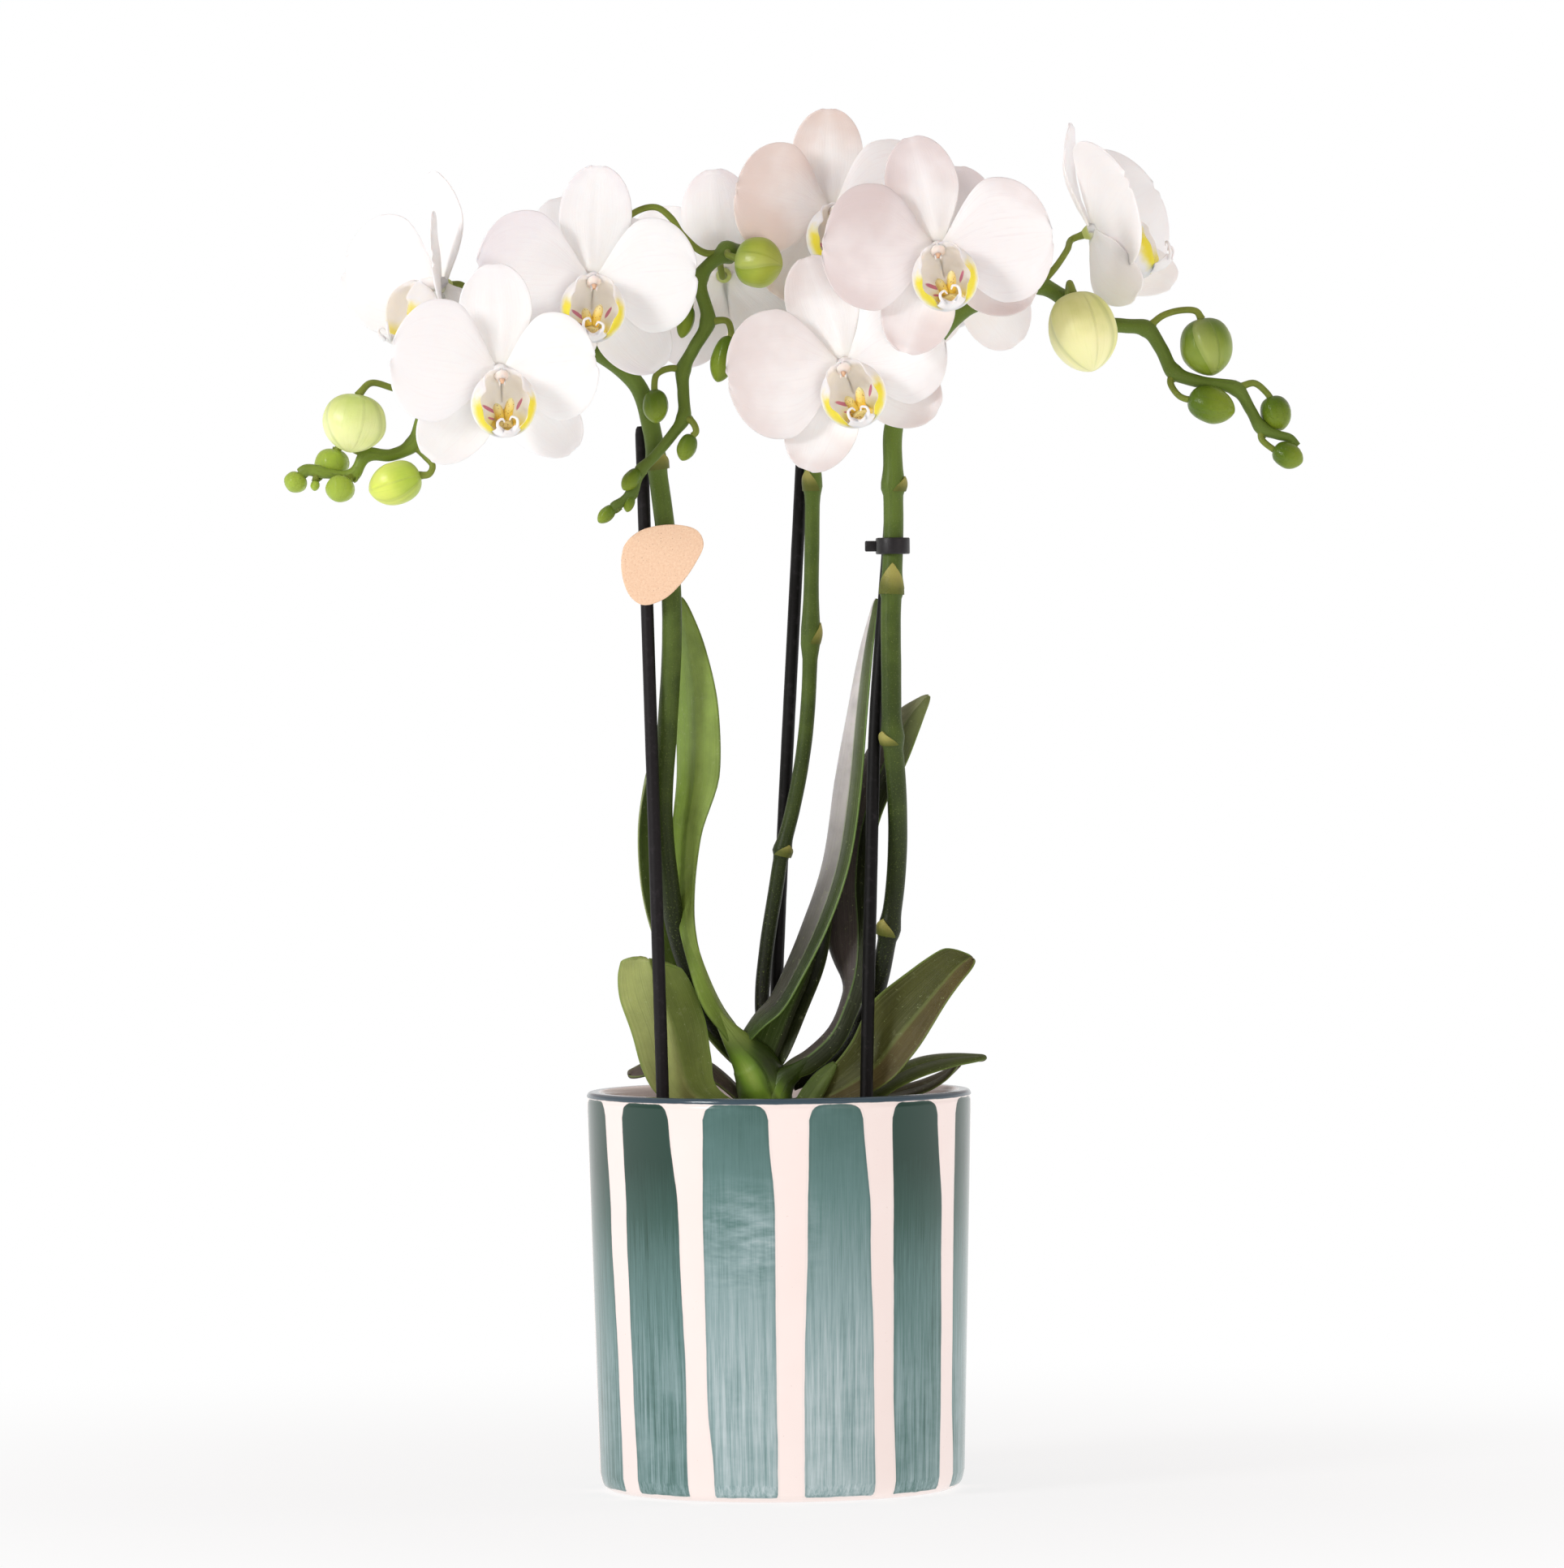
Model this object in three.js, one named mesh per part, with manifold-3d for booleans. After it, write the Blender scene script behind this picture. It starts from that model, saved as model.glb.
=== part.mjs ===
// Potted moon orchid: a white flowered plant with three spikes, held up by three black stakes,
// in a nursery pot that stands inside a striped ceramic pot. Millimetres, +Z up, the origin at the
// middle of the ceramic pot's flat underside, the picture's right along +X and its depth along +Y.
import * as THREE from 'three';
import { mergeVertices } from 'three/addons/utils/BufferGeometryUtils.js';
import Module from 'manifold-3d';

const wasm = await Module();
wasm.setup();

// Driving sizes
const POT_HEIGHT = 112.2;
const POT_RIM_RADIUS = 54;
const POT_FOOT_RADIUS = 51.4;
const POT_WALL = 4.5;
const POT_FLOOR = 7;
const POT_CORNER = 5;
const GROW_POT_TOP_RADIUS = 44.4;
const GROW_POT_BASE_RADIUS = 33;
const GROW_POT_TOP = 99;
const GROW_POT_WALL = 1.2;
const GROW_POT_LIP = 1.2;
const BARK_TOP = 104.5;
const GAP = 0.35;
const BUD_GAP = 0.7;
const STAKE_RADIUS = 1.8;
const CLIP_WALL = 1.3;
const CLIP_HEIGHT = 4.6;
const TAG_THICKNESS = 0.8;
const LEAF_RIB_THICKNESS = 2.0;
const LEAF_EDGE_THICKNESS = 1.1;
const TEPAL_THICKNESS = 0.8;
const PEDICEL_RADIUS = 1.15;
const SEPAL_HALF_WIDTH = 10.2;
const PETAL_HALF_WIDTH = 17;
const RECEPTACLE_DEPTH = 3;

// Number of flat sides and steps that stand in for the round shapes
const POT_SIDES = 32;
const INNER_POT_SIDES = 16;
const STEM_SIDES = 6;
const PEDICEL_SIDES = 5;

// Materials
const finish = (color, roughness, metalness = 0) =>
  new THREE.MeshStandardMaterial({ color, roughness, metalness, side: THREE.DoubleSide });
const MATERIALS = {
  glaze: finish(0xf2e6e2, 0.25),
  potPlastic: finish(0x3a3230, 0.5),
  bark: finish(0x6b4630, 0.95),
  leaf: finish(0x4f7a2f, 0.4),
  crown: finish(0x5f8a35, 0.45),
  stem: finish(0x48702f, 0.5),
  bud: finish(0xa9bf4a, 0.5),
  petal: finish(0xf6f1f2, 0.55),
  lip: finish(0xf2dc8c, 0.5),
  black: finish(0x1e1c1f, 0.45),
  card: finish(0xd9ac86, 0.9),
};

// Plain helpers for curves and closed solids
const vector = (point) => new THREE.Vector3(...point);
const radians = THREE.MathUtils.degToRad;
const curveThrough = (points) => new THREE.CatmullRomCurve3(points.map(vector), false, 'centripetal');

function valueAlong(list, t) {
  const place = t * (list.length - 1);
  const index = Math.min(Math.floor(place), list.length - 2);
  return THREE.MathUtils.lerp(list[index], list[index + 1], place - index);
}

function solidOf(vertices, triangles) {
  let volume = 0;
  const side = new THREE.Vector3();
  for (const [a, b, c] of triangles) {
    volume += vertices[a].dot(side.crossVectors(vertices[b], vertices[c]));
  }
  const facing = volume < 0 ? triangles.map(([a, b, c]) => [a, c, b]) : triangles;
  return new wasm.Manifold(new wasm.Mesh({
    numProp: 3,
    vertProperties: new Float32Array(vertices.flatMap((v) => v.toArray())),
    triVerts: new Uint32Array(facing.flat()),
  }));
}

function solidFromGeometry(geometry) {
  const bare = geometry.clone();
  bare.deleteAttribute('normal');
  bare.deleteAttribute('uv');
  const merged = mergeVertices(bare, 1e-4);
  return new wasm.Manifold(new wasm.Mesh({
    numProp: 3,
    vertProperties: new Float32Array(merged.attributes.position.array),
    triVerts: new Uint32Array(merged.index.array),
  }));
}

function geometryOf(solid) {
  const mesh = solid.getMesh();
  const geometry = new THREE.BufferGeometry();
  geometry.setAttribute('position', new THREE.BufferAttribute(new Float32Array(mesh.vertProperties), 3));
  geometry.setIndex(new THREE.BufferAttribute(new Uint32Array(mesh.triVerts), 1));
  geometry.computeVertexNormals();
  return geometry;
}

// The biggest single piece of a cut solid, without the scraps
function mainPiece(solid) {
  const pieces = solid.decompose();
  return pieces.reduce((best, piece) => (piece.volume() > best.volume() ? piece : best));
}

const fused = (solids) => solids.reduce((whole, solid) => whole.add(solid));

// Rings of equal length joined in order, with a flat fan at each end
function loft(rings) {
  const count = rings[0].length;
  const vertices = rings.flat();
  const triangles = [];
  for (let k = 0; k < rings.length - 1; k += 1) {
    for (let m = 0; m < count; m += 1) {
      const a = k * count + m;
      const b = k * count + ((m + 1) % count);
      triangles.push([a, b, b + count], [a, b + count, a + count]);
    }
  }
  const last = (rings.length - 1) * count;
  for (let m = 1; m < count - 1; m += 1) {
    triangles.push([0, m + 1, m], [last, last + m, last + m + 1]);
  }
  return solidOf(vertices, triangles);
}

// A round stem along a curve: each ring is a share of the curve's length and a radius
function stem(points, rings, sides) {
  const curve = curveThrough(points);
  let side = new THREE.Vector3(0.31, -0.93, 0.17);
  return loft(rings.map(([t, radius]) => {
    const centre = curve.getPoint(t);
    const along = curve.getTangent(t);
    side = side.clone().addScaledVector(along, -side.dot(along)).normalize();
    const across = new THREE.Vector3().crossVectors(along, side);
    const ring = [];
    for (let m = 0; m < sides; m += 1) {
      const angle = (2 * Math.PI * m) / sides;
      ring.push(centre.clone()
        .addScaledVector(side, radius * Math.cos(angle))
        .addScaledVector(across, radius * Math.sin(angle)));
    }
    return ring;
  }));
}

const evenRings = (radii, steps, grow = 0) =>
  Array.from({ length: steps + 1 }, (_, k) => [k / steps, valueAlong(radii, k / steps) + grow]);

const tube = (points, radii, steps, sides, grow = 0) => stem(points, evenRings(radii, steps, grow), sides);

// A thin blade from a grid of points on its middle surface, both faces split into like triangles
function blade(grid, thicknessAt) {
  const rows = grid.length;
  const columns = grid[0].length;
  const top = [];
  const bottom = [];
  for (let i = 0; i < rows; i += 1) {
    for (let j = 0; j < columns; j += 1) {
      const lengthwise = grid[Math.min(i + 1, rows - 1)][j].clone().sub(grid[Math.max(i - 1, 0)][j]);
      const widthwise = grid[i][Math.min(j + 1, columns - 1)].clone().sub(grid[i][Math.max(j - 1, 0)]);
      const normal = lengthwise.cross(widthwise).normalize();
      const half = thicknessAt(i / (rows - 1), (2 * j) / (columns - 1) - 1) / 2;
      top.push(grid[i][j].clone().addScaledVector(normal, half));
      bottom.push(grid[i][j].clone().addScaledVector(normal, -half));
    }
  }
  const triangles = [];
  const under = rows * columns;
  for (let i = 0; i < rows - 1; i += 1) {
    for (let j = 0; j < columns - 1; j += 1) {
      const a = i * columns + j;
      const corners = [a, a + columns, a + columns + 1, a + 1];
      const faces = [[0, 1, 2], [0, 2, 3]].map((face) => face.map((corner) => corners[corner]));
      for (const [p, q, r] of faces) {
        triangles.push([p, q, r], [under + p, under + r, under + q]);
      }
    }
  }
  const rim = [];
  for (let j = 0; j < columns - 1; j += 1) rim.push(j);
  for (let i = 0; i < rows - 1; i += 1) rim.push(i * columns + columns - 1);
  for (let j = columns - 1; j > 0; j -= 1) rim.push((rows - 1) * columns + j);
  for (let i = rows - 1; i > 0; i -= 1) rim.push(i * columns);
  rim.forEach((a, k) => {
    const b = rim[(k + 1) % rim.length];
    triangles.push([a, b, under + b], [a, under + b, under + a]);
  });
  return solidOf([...top, ...bottom], triangles);
}

// A repeatable random number from 0 to 1
function randomSource(seed) {
  let state = seed;
  return () => {
    state = (state * 1664525 + 1013904223) % 4294967296;
    return state / 4294967296;
  };
}

// Ceramic pot: slightly tapered, round bottom corner, rolled rim
function ceramicPot() {
  const innerRim = POT_RIM_RADIUS - POT_WALL;
  const innerFoot = POT_FOOT_RADIUS - POT_WALL;
  const profile = [
    [0, 0],
    [POT_FOOT_RADIUS - POT_CORNER, 0],
    [POT_FOOT_RADIUS - 1.6, 1.3],
    [POT_FOOT_RADIUS, POT_CORNER],
    [(POT_FOOT_RADIUS + POT_RIM_RADIUS) / 2, POT_HEIGHT / 2],
    [POT_RIM_RADIUS, POT_HEIGHT - 2.4],
    [POT_RIM_RADIUS - 0.9, POT_HEIGHT - 0.5],
    [POT_RIM_RADIUS - 2.2, POT_HEIGHT],
    [innerRim + 0.8, POT_HEIGHT - 0.6],
    [innerRim, POT_HEIGHT - 2.4],
    [innerFoot, POT_FLOOR + 4],
    [innerFoot - 3, POT_FLOOR],
    [0, POT_FLOOR],
  ];
  const lathe = new THREE.LatheGeometry(profile.map(([r, z]) => new THREE.Vector2(r, z)), POT_SIDES);
  return solidFromGeometry(lathe.rotateX(Math.PI / 2));
}

// Nursery pot: a thin plastic cup with a turned out lip, standing on the ceramic floor
const growPotRadius = (z) => THREE.MathUtils.mapLinear(
  z, POT_FLOOR, GROW_POT_TOP, GROW_POT_BASE_RADIUS, GROW_POT_TOP_RADIUS);

function growPot() {
  const base = POT_FLOOR + GAP;
  const profile = [
    [0, base],
    [growPotRadius(base) - 1.5, base],
    [growPotRadius(base + 2), base + 2],
    [growPotRadius(GROW_POT_TOP - 3), GROW_POT_TOP - 3],
    [GROW_POT_TOP_RADIUS + GROW_POT_LIP, GROW_POT_TOP - 3],
    [GROW_POT_TOP_RADIUS + GROW_POT_LIP, GROW_POT_TOP],
    [GROW_POT_TOP_RADIUS - GROW_POT_WALL, GROW_POT_TOP],
    [growPotRadius(base + 3) - GROW_POT_WALL, base + 3],
    [growPotRadius(base) - 4, base + GROW_POT_WALL],
    [0, base + GROW_POT_WALL],
  ];
  const lathe = new THREE.LatheGeometry(profile.map(([r, z]) => new THREE.Vector2(r, z)), INNER_POT_SIDES);
  return solidFromGeometry(lathe.rotateX(Math.PI / 2));
}

// Bark: the plug of fir bark that fills the nursery pot, with loose chips sunk in its mound
const CHIP_COUNT = 4;

function barkPlug() {
  const base = POT_FLOOR + GAP + GROW_POT_WALL + GAP;
  const wall = GROW_POT_WALL + GAP;
  const profile = [
    [0, base],
    [growPotRadius(base) - 5, base],
    [growPotRadius(base + 4) - wall, base + 4],
    [GROW_POT_TOP_RADIUS - wall, GROW_POT_TOP - 1],
    [GROW_POT_TOP_RADIUS - wall - 3, GROW_POT_TOP + 2.5],
    [24, BARK_TOP - 1.5],
    [0, BARK_TOP],
  ];
  const lathe = new THREE.LatheGeometry(profile.map(([r, z]) => new THREE.Vector2(r, z)), INNER_POT_SIDES);
  let plug = solidFromGeometry(lathe.rotateX(Math.PI / 2));
  const random = randomSource(17);
  for (let k = 0; k < CHIP_COUNT; k += 1) {
    const angle = (2 * Math.PI * (k + 0.6 * random())) / CHIP_COUNT;
    const reach = 14 + 20 * random();
    const chip = new THREE.BoxGeometry(7 + 5 * random(), 5 + 3 * random(), 4);
    chip.rotateX(radians(50 * random() - 25));
    chip.rotateY(radians(50 * random() - 25));
    chip.rotateZ(2 * Math.PI * random());
    chip.translate(reach * Math.cos(angle), reach * Math.sin(angle), BARK_TOP - 0.09 * reach);
    plug = plug.add(solidFromGeometry(chip));
  }
  return plug;
}

// Crown: the short stout stem that leans into the tall left leaf, with the sheath it wraps round the
// right leaves and its roots down in the bark
const CROWN_LINE = [[-3, 1, 84], [-3, 0, 98], [-3.4, -0.8, 107], [-4.6, -1.8, 114], [-7, -3, 120],
  [-11, -4.6, 125], [-14.2, -5.8, 129.4], [-17.4, -6.6, 134.4]];
const CROWN_RADII = [5, 7.6, 7.9, 7.8, 6.6, 4.1, 2.4, 0.9];
const SHEATH_LINE = [[-1.6, -3, 98], [-1.4, -3.8, 106], [-0.6, -4.6, 111.3], [1.6, -5.4, 115.2],
  [5, -6.2, 117.8], [9, -6.9, 121.1]];
const SHEATH_RADII = [4.4, 5, 4.8, 3.7, 2.4, 1.1];
const ROOTS = [
  [[-3, 0, 92], [12, -14, 78], [25, -20, 40]],
  [[-3, 0, 90], [-18, -10, 74], [-23, -15, 32]],
  [[-2, 0, 88], [4, 17, 70], [10, 28, 34]],
];

function crown(grow = 0) {
  const stock = tube(CROWN_LINE, CROWN_RADII, 6, 7, grow);
  const sheath = tube(SHEATH_LINE, SHEATH_RADII, 4, 5, grow);
  const roots = ROOTS.map((line) => tube(line, [2.8, 2.4, 2.0], 2, 4, grow));
  return fused([stock, sheath, ...roots]);
}

// Leaves: each has its midrib's line, and the reach of its two halves at even stations.
// tip is the share of the length that rounds off, ends cuts the tip back from edge to edge, and a
// narrow leaf is folded flat on both sides of its midrib.
const LEAVES = {
  leaf_left_tall: {
    midrib: [[-6.5, -2, 119], [-12, -4.8, 128], [-17.2, -6.3, 135.5], [-21.7, -6.5, 145], [-24.8, -4.5, 156.5],
      [-25.3, 0, 168], [-24.5, 2.5, 184], [-22, 3, 202], [-22, 3.5, 220.5], [-24, 4, 238], [-26.5, 4, 251]],
    first: [[-3, -3, 0], [-3, -3.5, -1], [-2.5, 2, 0], [-5, 6, 0], [-6.5, 7, 0], [-4.5, 5, 0]],
    second: [[1.5, 4, 0], [1.5, 4, 0.5], [1.5, 3.5, 0.5], [1.7, 2, 0.5], [1.9, -1.5, 0], [1.9, -3, 0],
      [3.3, -4, 0], [6.2, -5, 0], [5.8, -5, 0], [4.6, -4, 0], [3.5, -3, 0]],
    tip: 0.2,
  },
  leaf_left_behind: {
    narrow: true,
    midrib: [[-8, 3, 117], [-13, 6, 123], [-20, 8, 133], [-26, 9, 144.5], [-31, 8.5, 158.5],
      [-34.5, 7.5, 172.5], [-36, 6.5, 186], [-35.5, 6, 197.5], [-34.5, 6, 207]],
    first: [[-2, -2, 0], [-5, -3, 0.5], [-5, -3.5, 0], [-2.8, -3, 0], [-0.8, -3, 0]],
    second: [[2, 3, 0], [1.5, 4.5, 0], [2.2, 6, 0], [4.8, 6, 0], [4, 4, 0]],
    tip: 0.2,
  },
  leaf_left_front: {
    midrib: [[-9, -3, 107], [-14, -5, 107.5], [-20, -7, 109], [-25, -8, 113], [-27.5, -8.5, 121],
      [-29.5, -8.5, 130], [-32.5, -8, 138.5], [-35, -7.5, 145.5], [-36.5, -7, 150]],
    first: [[-1, -2, -0.5], [-5.5, -1, -2], [-11.2, 1, -1.5], [-11.8, 2, -1], [-7.4, 1, 1]],
    second: [[1, 2, 0.5], [5, 2, 2], [8.5, 3, 1.2], [9.6, 3.5, 1], [8.5, 2, -1]],
    tip: 0.05,
    ends: [0.99, 1, 0.985, 0.99, 0.96],
  },
  leaf_left_low: {
    narrow: true,
    midrib: [[-9, 2, 108], [-13, 3, 113], [-18, 4, 117.5], [-25, 4, 121.5], [-32, 3, 121.5],
      [-37.5, 1, 119.5], [-42.5, 0, 117]],
    first: [[0, -3, -2], [0, -4.5, -3], [1, -5, -3], [1, -4, -2.5]],
    second: [[0, 3, 2], [-1, 6, 2], [-1, 6, 1], [0, 4, 0]],
    tip: 0.25,
  },
  leaf_right_tall: {
    midrib: [[-10, -3, 125.5], [-4.5, -3.5, 131.8], [0.3, -3.2, 136], [6.5, -2.4, 146.5], [12.5, -0.3, 159],
      [18, 2, 175], [21.5, 3.2, 196], [23.8, 3.8, 218], [26.2, 4.4, 236], [29, 5, 250]],
    first: [[0.6, -2, -1], [0.6, -5, -1.6], [0.9, -6, -1.4], [1.4, -7, -1], [2, -8, -0.4], [2.4, -8.5, 0],
      [2.2, -8, 0], [1.6, -6, 0], [1, -3.5, 0]],
    second: [[-1, 2, 1], [-2, 4, 1.5], [-2.6, 5.5, 1.8], [-3.6, 7, 1.6], [-4.8, 8.4, 1.2], [-5.3, 9.2, 0.3],
      [-5.3, 9.5, 0], [-3, 9.2, 0], [-1.6, 7.6, 0], [-0.5, 4, 0]],
    tip: 0.2,
  },
  leaf_right_inner: {
    narrow: true,
    midrib: [[-2, 0, 116], [1, 1, 122], [5.5, 3, 133], [10.5, 5.5, 145], [13.5, 7, 157], [15.5, 8.5, 168]],
    first: [[1, -3, 0], [2, -5, 0], [2, -5, 0], [1, -3, 0]],
    second: [[-6, 2, 2], [-9.5, 1, 4], [-8, 2.5, 2], [-3.5, 4, 1], [-1, 3, 0]],
    tip: 0.3,
  },
  leaf_right_arched: {
    midrib: [[-0.5, -4, 115], [3.5, -6, 118.5], [8.5, -7, 121.5], [15.5, -7, 128], [20, -5.5, 137.5],
      [22.5, -3, 145.5], [23.5, 1, 156], [23, 4.5, 169.5], [24.5, 6.5, 183.5], [28, 8, 196],
      [33, 9, 207], [38.5, 10, 216.5], [43.5, 10, 222.5]],
    first: [[0, -2, -2], [1.5, 0, -4], [2.5, -0.5, -3.5], [3, -4, -2], [3.5, -5, 0], [4, -4, -3], [2, -2, -2]],
    second: [[0, 2, 2], [-0.5, 2.5, 2], [-1.5, 4.5, 2], [-9.5, 7, 0], [-8, 7, 1], [-5, 6, 4], [-2, 3, 2]],
    tip: 0.2,
  },
  leaf_right_broad: {
    midrib: [[3, -4, 107], [9, -6, 108.5], [17, -8.5, 112], [27, -10, 118.5], [33.5, -10, 126.5],
      [39.5, -9.5, 133.5], [46, -8.5, 141], [51.5, -7.5, 146.8], [54.8, -7, 149]],
    first: [[-1, 1, 1], [-4, 0, 5], [-7.5, 2.5, 10], [-6, 3, 6.8], [-3, 2, 3.4]],
    second: [[1, -1, -1], [3, -2, -3], [4.2, -3, -4.2], [2.6, -3, -2.2], [1.8, -2, -1.4]],
    tip: 0.16,
  },
  leaf_right_low: {
    narrow: true,
    midrib: [[4, -0.5, 107], [14, -1.5, 107.5], [23, -2.5, 109.5], [28.5, -3, 112.5], [33.5, -2.5, 115.5],
      [41, -1, 118.5], [49.5, 1, 120], [58.5, 3, 120.3]],
    first: [[0, -3, -1.4], [0.5, -4, -2.4], [0.5, -5, -2.6], [0.5, -4, -1.4]],
    second: [[0, 3, 1.2], [-0.5, 4.5, 2.6], [-0.5, 5, 2.4], [0, 4, 1.2]],
    tip: 0.35,
  },
  leaf_right_back: {
    narrow: true,
    midrib: [[3, 5, 108], [11, 7, 108], [19, 8.5, 108], [27, 10, 108.5], [34.5, 12, 110], [42, 14, 112],
      [47.5, 15, 115], [51.5, 15, 118.8]],
    first: [[0, -2.4, 0.2], [0, -3.5, -1], [0, -4, -1.3], [0, -3, -0.8]],
    second: [[0, 3, 0.8], [0, 4, 1.8], [0, 4.5, 2], [0, 3, 1.2]],
    tip: 0.3,
  },
  leaf_right_stub: {
    narrow: true,
    midrib: [[7, -7.4, 107], [8.2, -7.8, 109.5], [9.8, -8.2, 112], [12.6, -8.7, 116], [16, -8.6, 119.8]],
    first: [[2.6, -1, -1.8], [2.4, -1, -1.8], [1.8, -0.8, -1.6]],
    second: [[-2.6, 1, 1.8], [-2.4, 1, 1.8], [-1.8, 0.8, 1.6]],
    tip: 0.5,
  },
};
const LEAF_ROWS = 7;
const BROAD_COLUMNS = [-1, -0.5, 0, 0.5, 1];
const NARROW_COLUMNS = [-1, 0, 1];
const LEAF_HOLLOW = 0.1;

function roundTip(t, share) {
  const past = Math.max(0, (t - 1 + share) / share);
  return Math.sqrt(Math.max(0.03, 1 - past * past));
}

function leafBlade(leaf, grow = 0) {
  const midrib = curveThrough(leaf.midrib);
  const halves = [curveThrough(leaf.first), curveThrough(leaf.second)];
  const columns = leaf.narrow ? NARROW_COLUMNS : BROAD_COLUMNS;
  const grid = [];
  for (let i = 0; i <= LEAF_ROWS; i += 1) {
    const even = i / LEAF_ROWS;
    const row = columns.map((v, j) => {
      const t = 1 - (1 - even) ** 1.25;
      const end = leaf.ends ? THREE.MathUtils.lerp(1, leaf.ends[j], t) : 1;
      const half = halves[v < 0 ? 0 : 1].getPoint(t);
      const reach = Math.abs(v) * (roundTip(t, leaf.tip) + grow / half.length());
      const along = midrib.getTangent(t);
      const out = halves[0].getPoint(t).sub(halves[1].getPoint(t)).cross(along).normalize();
      const sag = LEAF_HOLLOW * half.length() * Math.abs(v) * (1 - Math.abs(v)) * 4;
      return midrib.getPoint(t * end).addScaledVector(half, reach).addScaledVector(out, sag);
    });
    grid.push(row);
  }
  const rib = LEAF_RIB_THICKNESS + 2 * grow;
  const edge = LEAF_EDGE_THICKNESS + 2 * grow;
  return blade(grid, (u, v) => THREE.MathUtils.lerp(rib, edge, Math.abs(v)));
}

// Stakes: straight black plastic coated canes, pushed into the bark beside each spike
const STAKES = {
  stake_left: [[-31.5, -17, 62], [-32.5, -15, 111], [-37, -3, 299]],
  stake_middle: [[-2.5, 15, 62], [-0.5, 14, 137.5], [8.5, 12, 297]],
  stake_right: [[23.5, -17.5, 62], [24.5, -15, 111], [26.2, -11.3, 167.5], [28, -8.4, 216], [32.3, -5.2, 267.5],
    [33.4, -4, 284]],
};
const STAKE_SIDES = 6;

const stake = (line, grow = 0) => tube(line, [STAKE_RADIUS, STAKE_RADIUS], line.length - 1, STAKE_SIDES, grow);

// Blooms: heart is where the petals meet, yaw turns the face from the picture's front to its right,
// pitch lifts it, sweep brings the petals forward. Angles run clockwise from the top as the bloom
// is seen from its front, in the order dorsal sepal, right petal, right sepal, left sepal, left petal.
// Turns twist a petal's upper margin back and a side sepal's outer margin forward, cups bring the
// three sepals forward.
const USUAL_ANGLES = [0, 77, 142, -142, -77];
const USUAL_LENGTHS = [30, 31, 29, 29, 31];
const USUAL_TURNS = [0, 0, 0, 0, 0];
const USUAL_CUPS = [0, 0, 0];
const BLOOMS = {
  a: { heart: [-93, 5, 339.5], yaw: -60, pitch: 0, sweep: 29, cups: [4, 6, 6], lengths: [32, 31, 25, 28, 31] },
  b: {
    heart: [-75.5, -42, 313.5], yaw: 6, pitch: -4, sweep: 8,
    angles: [-3, 83, 137, -139, -79], lengths: [30, 27, 30, 31, 31], turns: [0, 0, 22, 10, 0],
  },
  c: {
    heart: [-50, -20, 339.5], yaw: 4, pitch: 0, sweep: 8,
    angles: [3.5, 86, 143, -150, -85], lengths: [32, 29, 31, 29, 33],
  },
  d: {
    heart: [-53.5, 4, 336.5], yaw: 188, pitch: 0, sweep: 8,
    angles: [14, 88, 152, -130, -66], lengths: [28, 27, 28, 28, 29],
  },
  e: { heart: [-13.5, 16, 342], yaw: 176, pitch: 4, sweep: 8, angles: [5, 80, 148, -134, -72] },
  f: {
    heart: [17, 0, 359], yaw: 10, pitch: 4, sweep: 8,
    angles: [-1, 77, 142, -145, -78], lengths: [29, 30, 29, 29, 29],
  },
  g: {
    heart: [46, -40, 346.5], yaw: 0, pitch: 0, sweep: 7,
    angles: [-13, 83, 117, -162, -87], lengths: [32, 32, 30, 30, 32],
  },
  h: {
    heart: [20, -24, 315], yaw: -2, pitch: -3, sweep: 7,
    angles: [-19, 72, 115, -159, -95], lengths: [32, 29, 29, 31, 33],
  },
  i: {
    heart: [90.5, 2, 353], yaw: 80, pitch: 21, sweep: 27, cups: [9, 26, 13],
    lengths: [31, 35, 30, 30, 35], turns: [0, 7, 42, 42, 7],
  },
  j: { heart: [53, 12, 344], yaw: 196, pitch: 0, sweep: 8, lengths: [28, 26, 28, 28, 26] },
};
const SEPAL_PLACES = [0, 2, 3];
const ROOT_REACH = 1.6;

function bloomTurn(bloom) {
  const yaw = radians(bloom.yaw);
  const pitch = radians(bloom.pitch);
  const right = new THREE.Vector3(Math.cos(yaw), Math.sin(yaw), 0);
  const facing = new THREE.Vector3(
    Math.sin(yaw) * Math.cos(pitch), -Math.cos(yaw) * Math.cos(pitch), Math.sin(pitch));
  const up = new THREE.Vector3().crossVectors(facing, right);
  return { facing, matrix: new THREE.Matrix4().makeBasis(right, up, facing) };
}

// Share of the full width at a share of the length, for the broad petals and the oval sepals
function petalWidth(t) {
  const rise = 0.1 + 0.9 * Math.sin((Math.PI / 2) * Math.min(1, t / 0.52) ** 1.1);
  return t < 0.52 ? rise : Math.sqrt(1 - ((t - 0.52) / 0.485) ** 2.4);
}

function sepalWidth(t) {
  const rise = 0.2 + 0.8 * Math.sin((Math.PI / 2) * Math.min(1, t / 0.55) ** 1.2);
  return t < 0.55 ? rise : Math.sqrt(1 - ((t - 0.55) / 0.458) ** 2);
}

const PETAL_STEPS = [0, 0.24, 0.5, 0.74, 0.92, 1];
const SEPAL_STEPS = [0, 0.3, 0.6, 0.87, 1];

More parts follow.
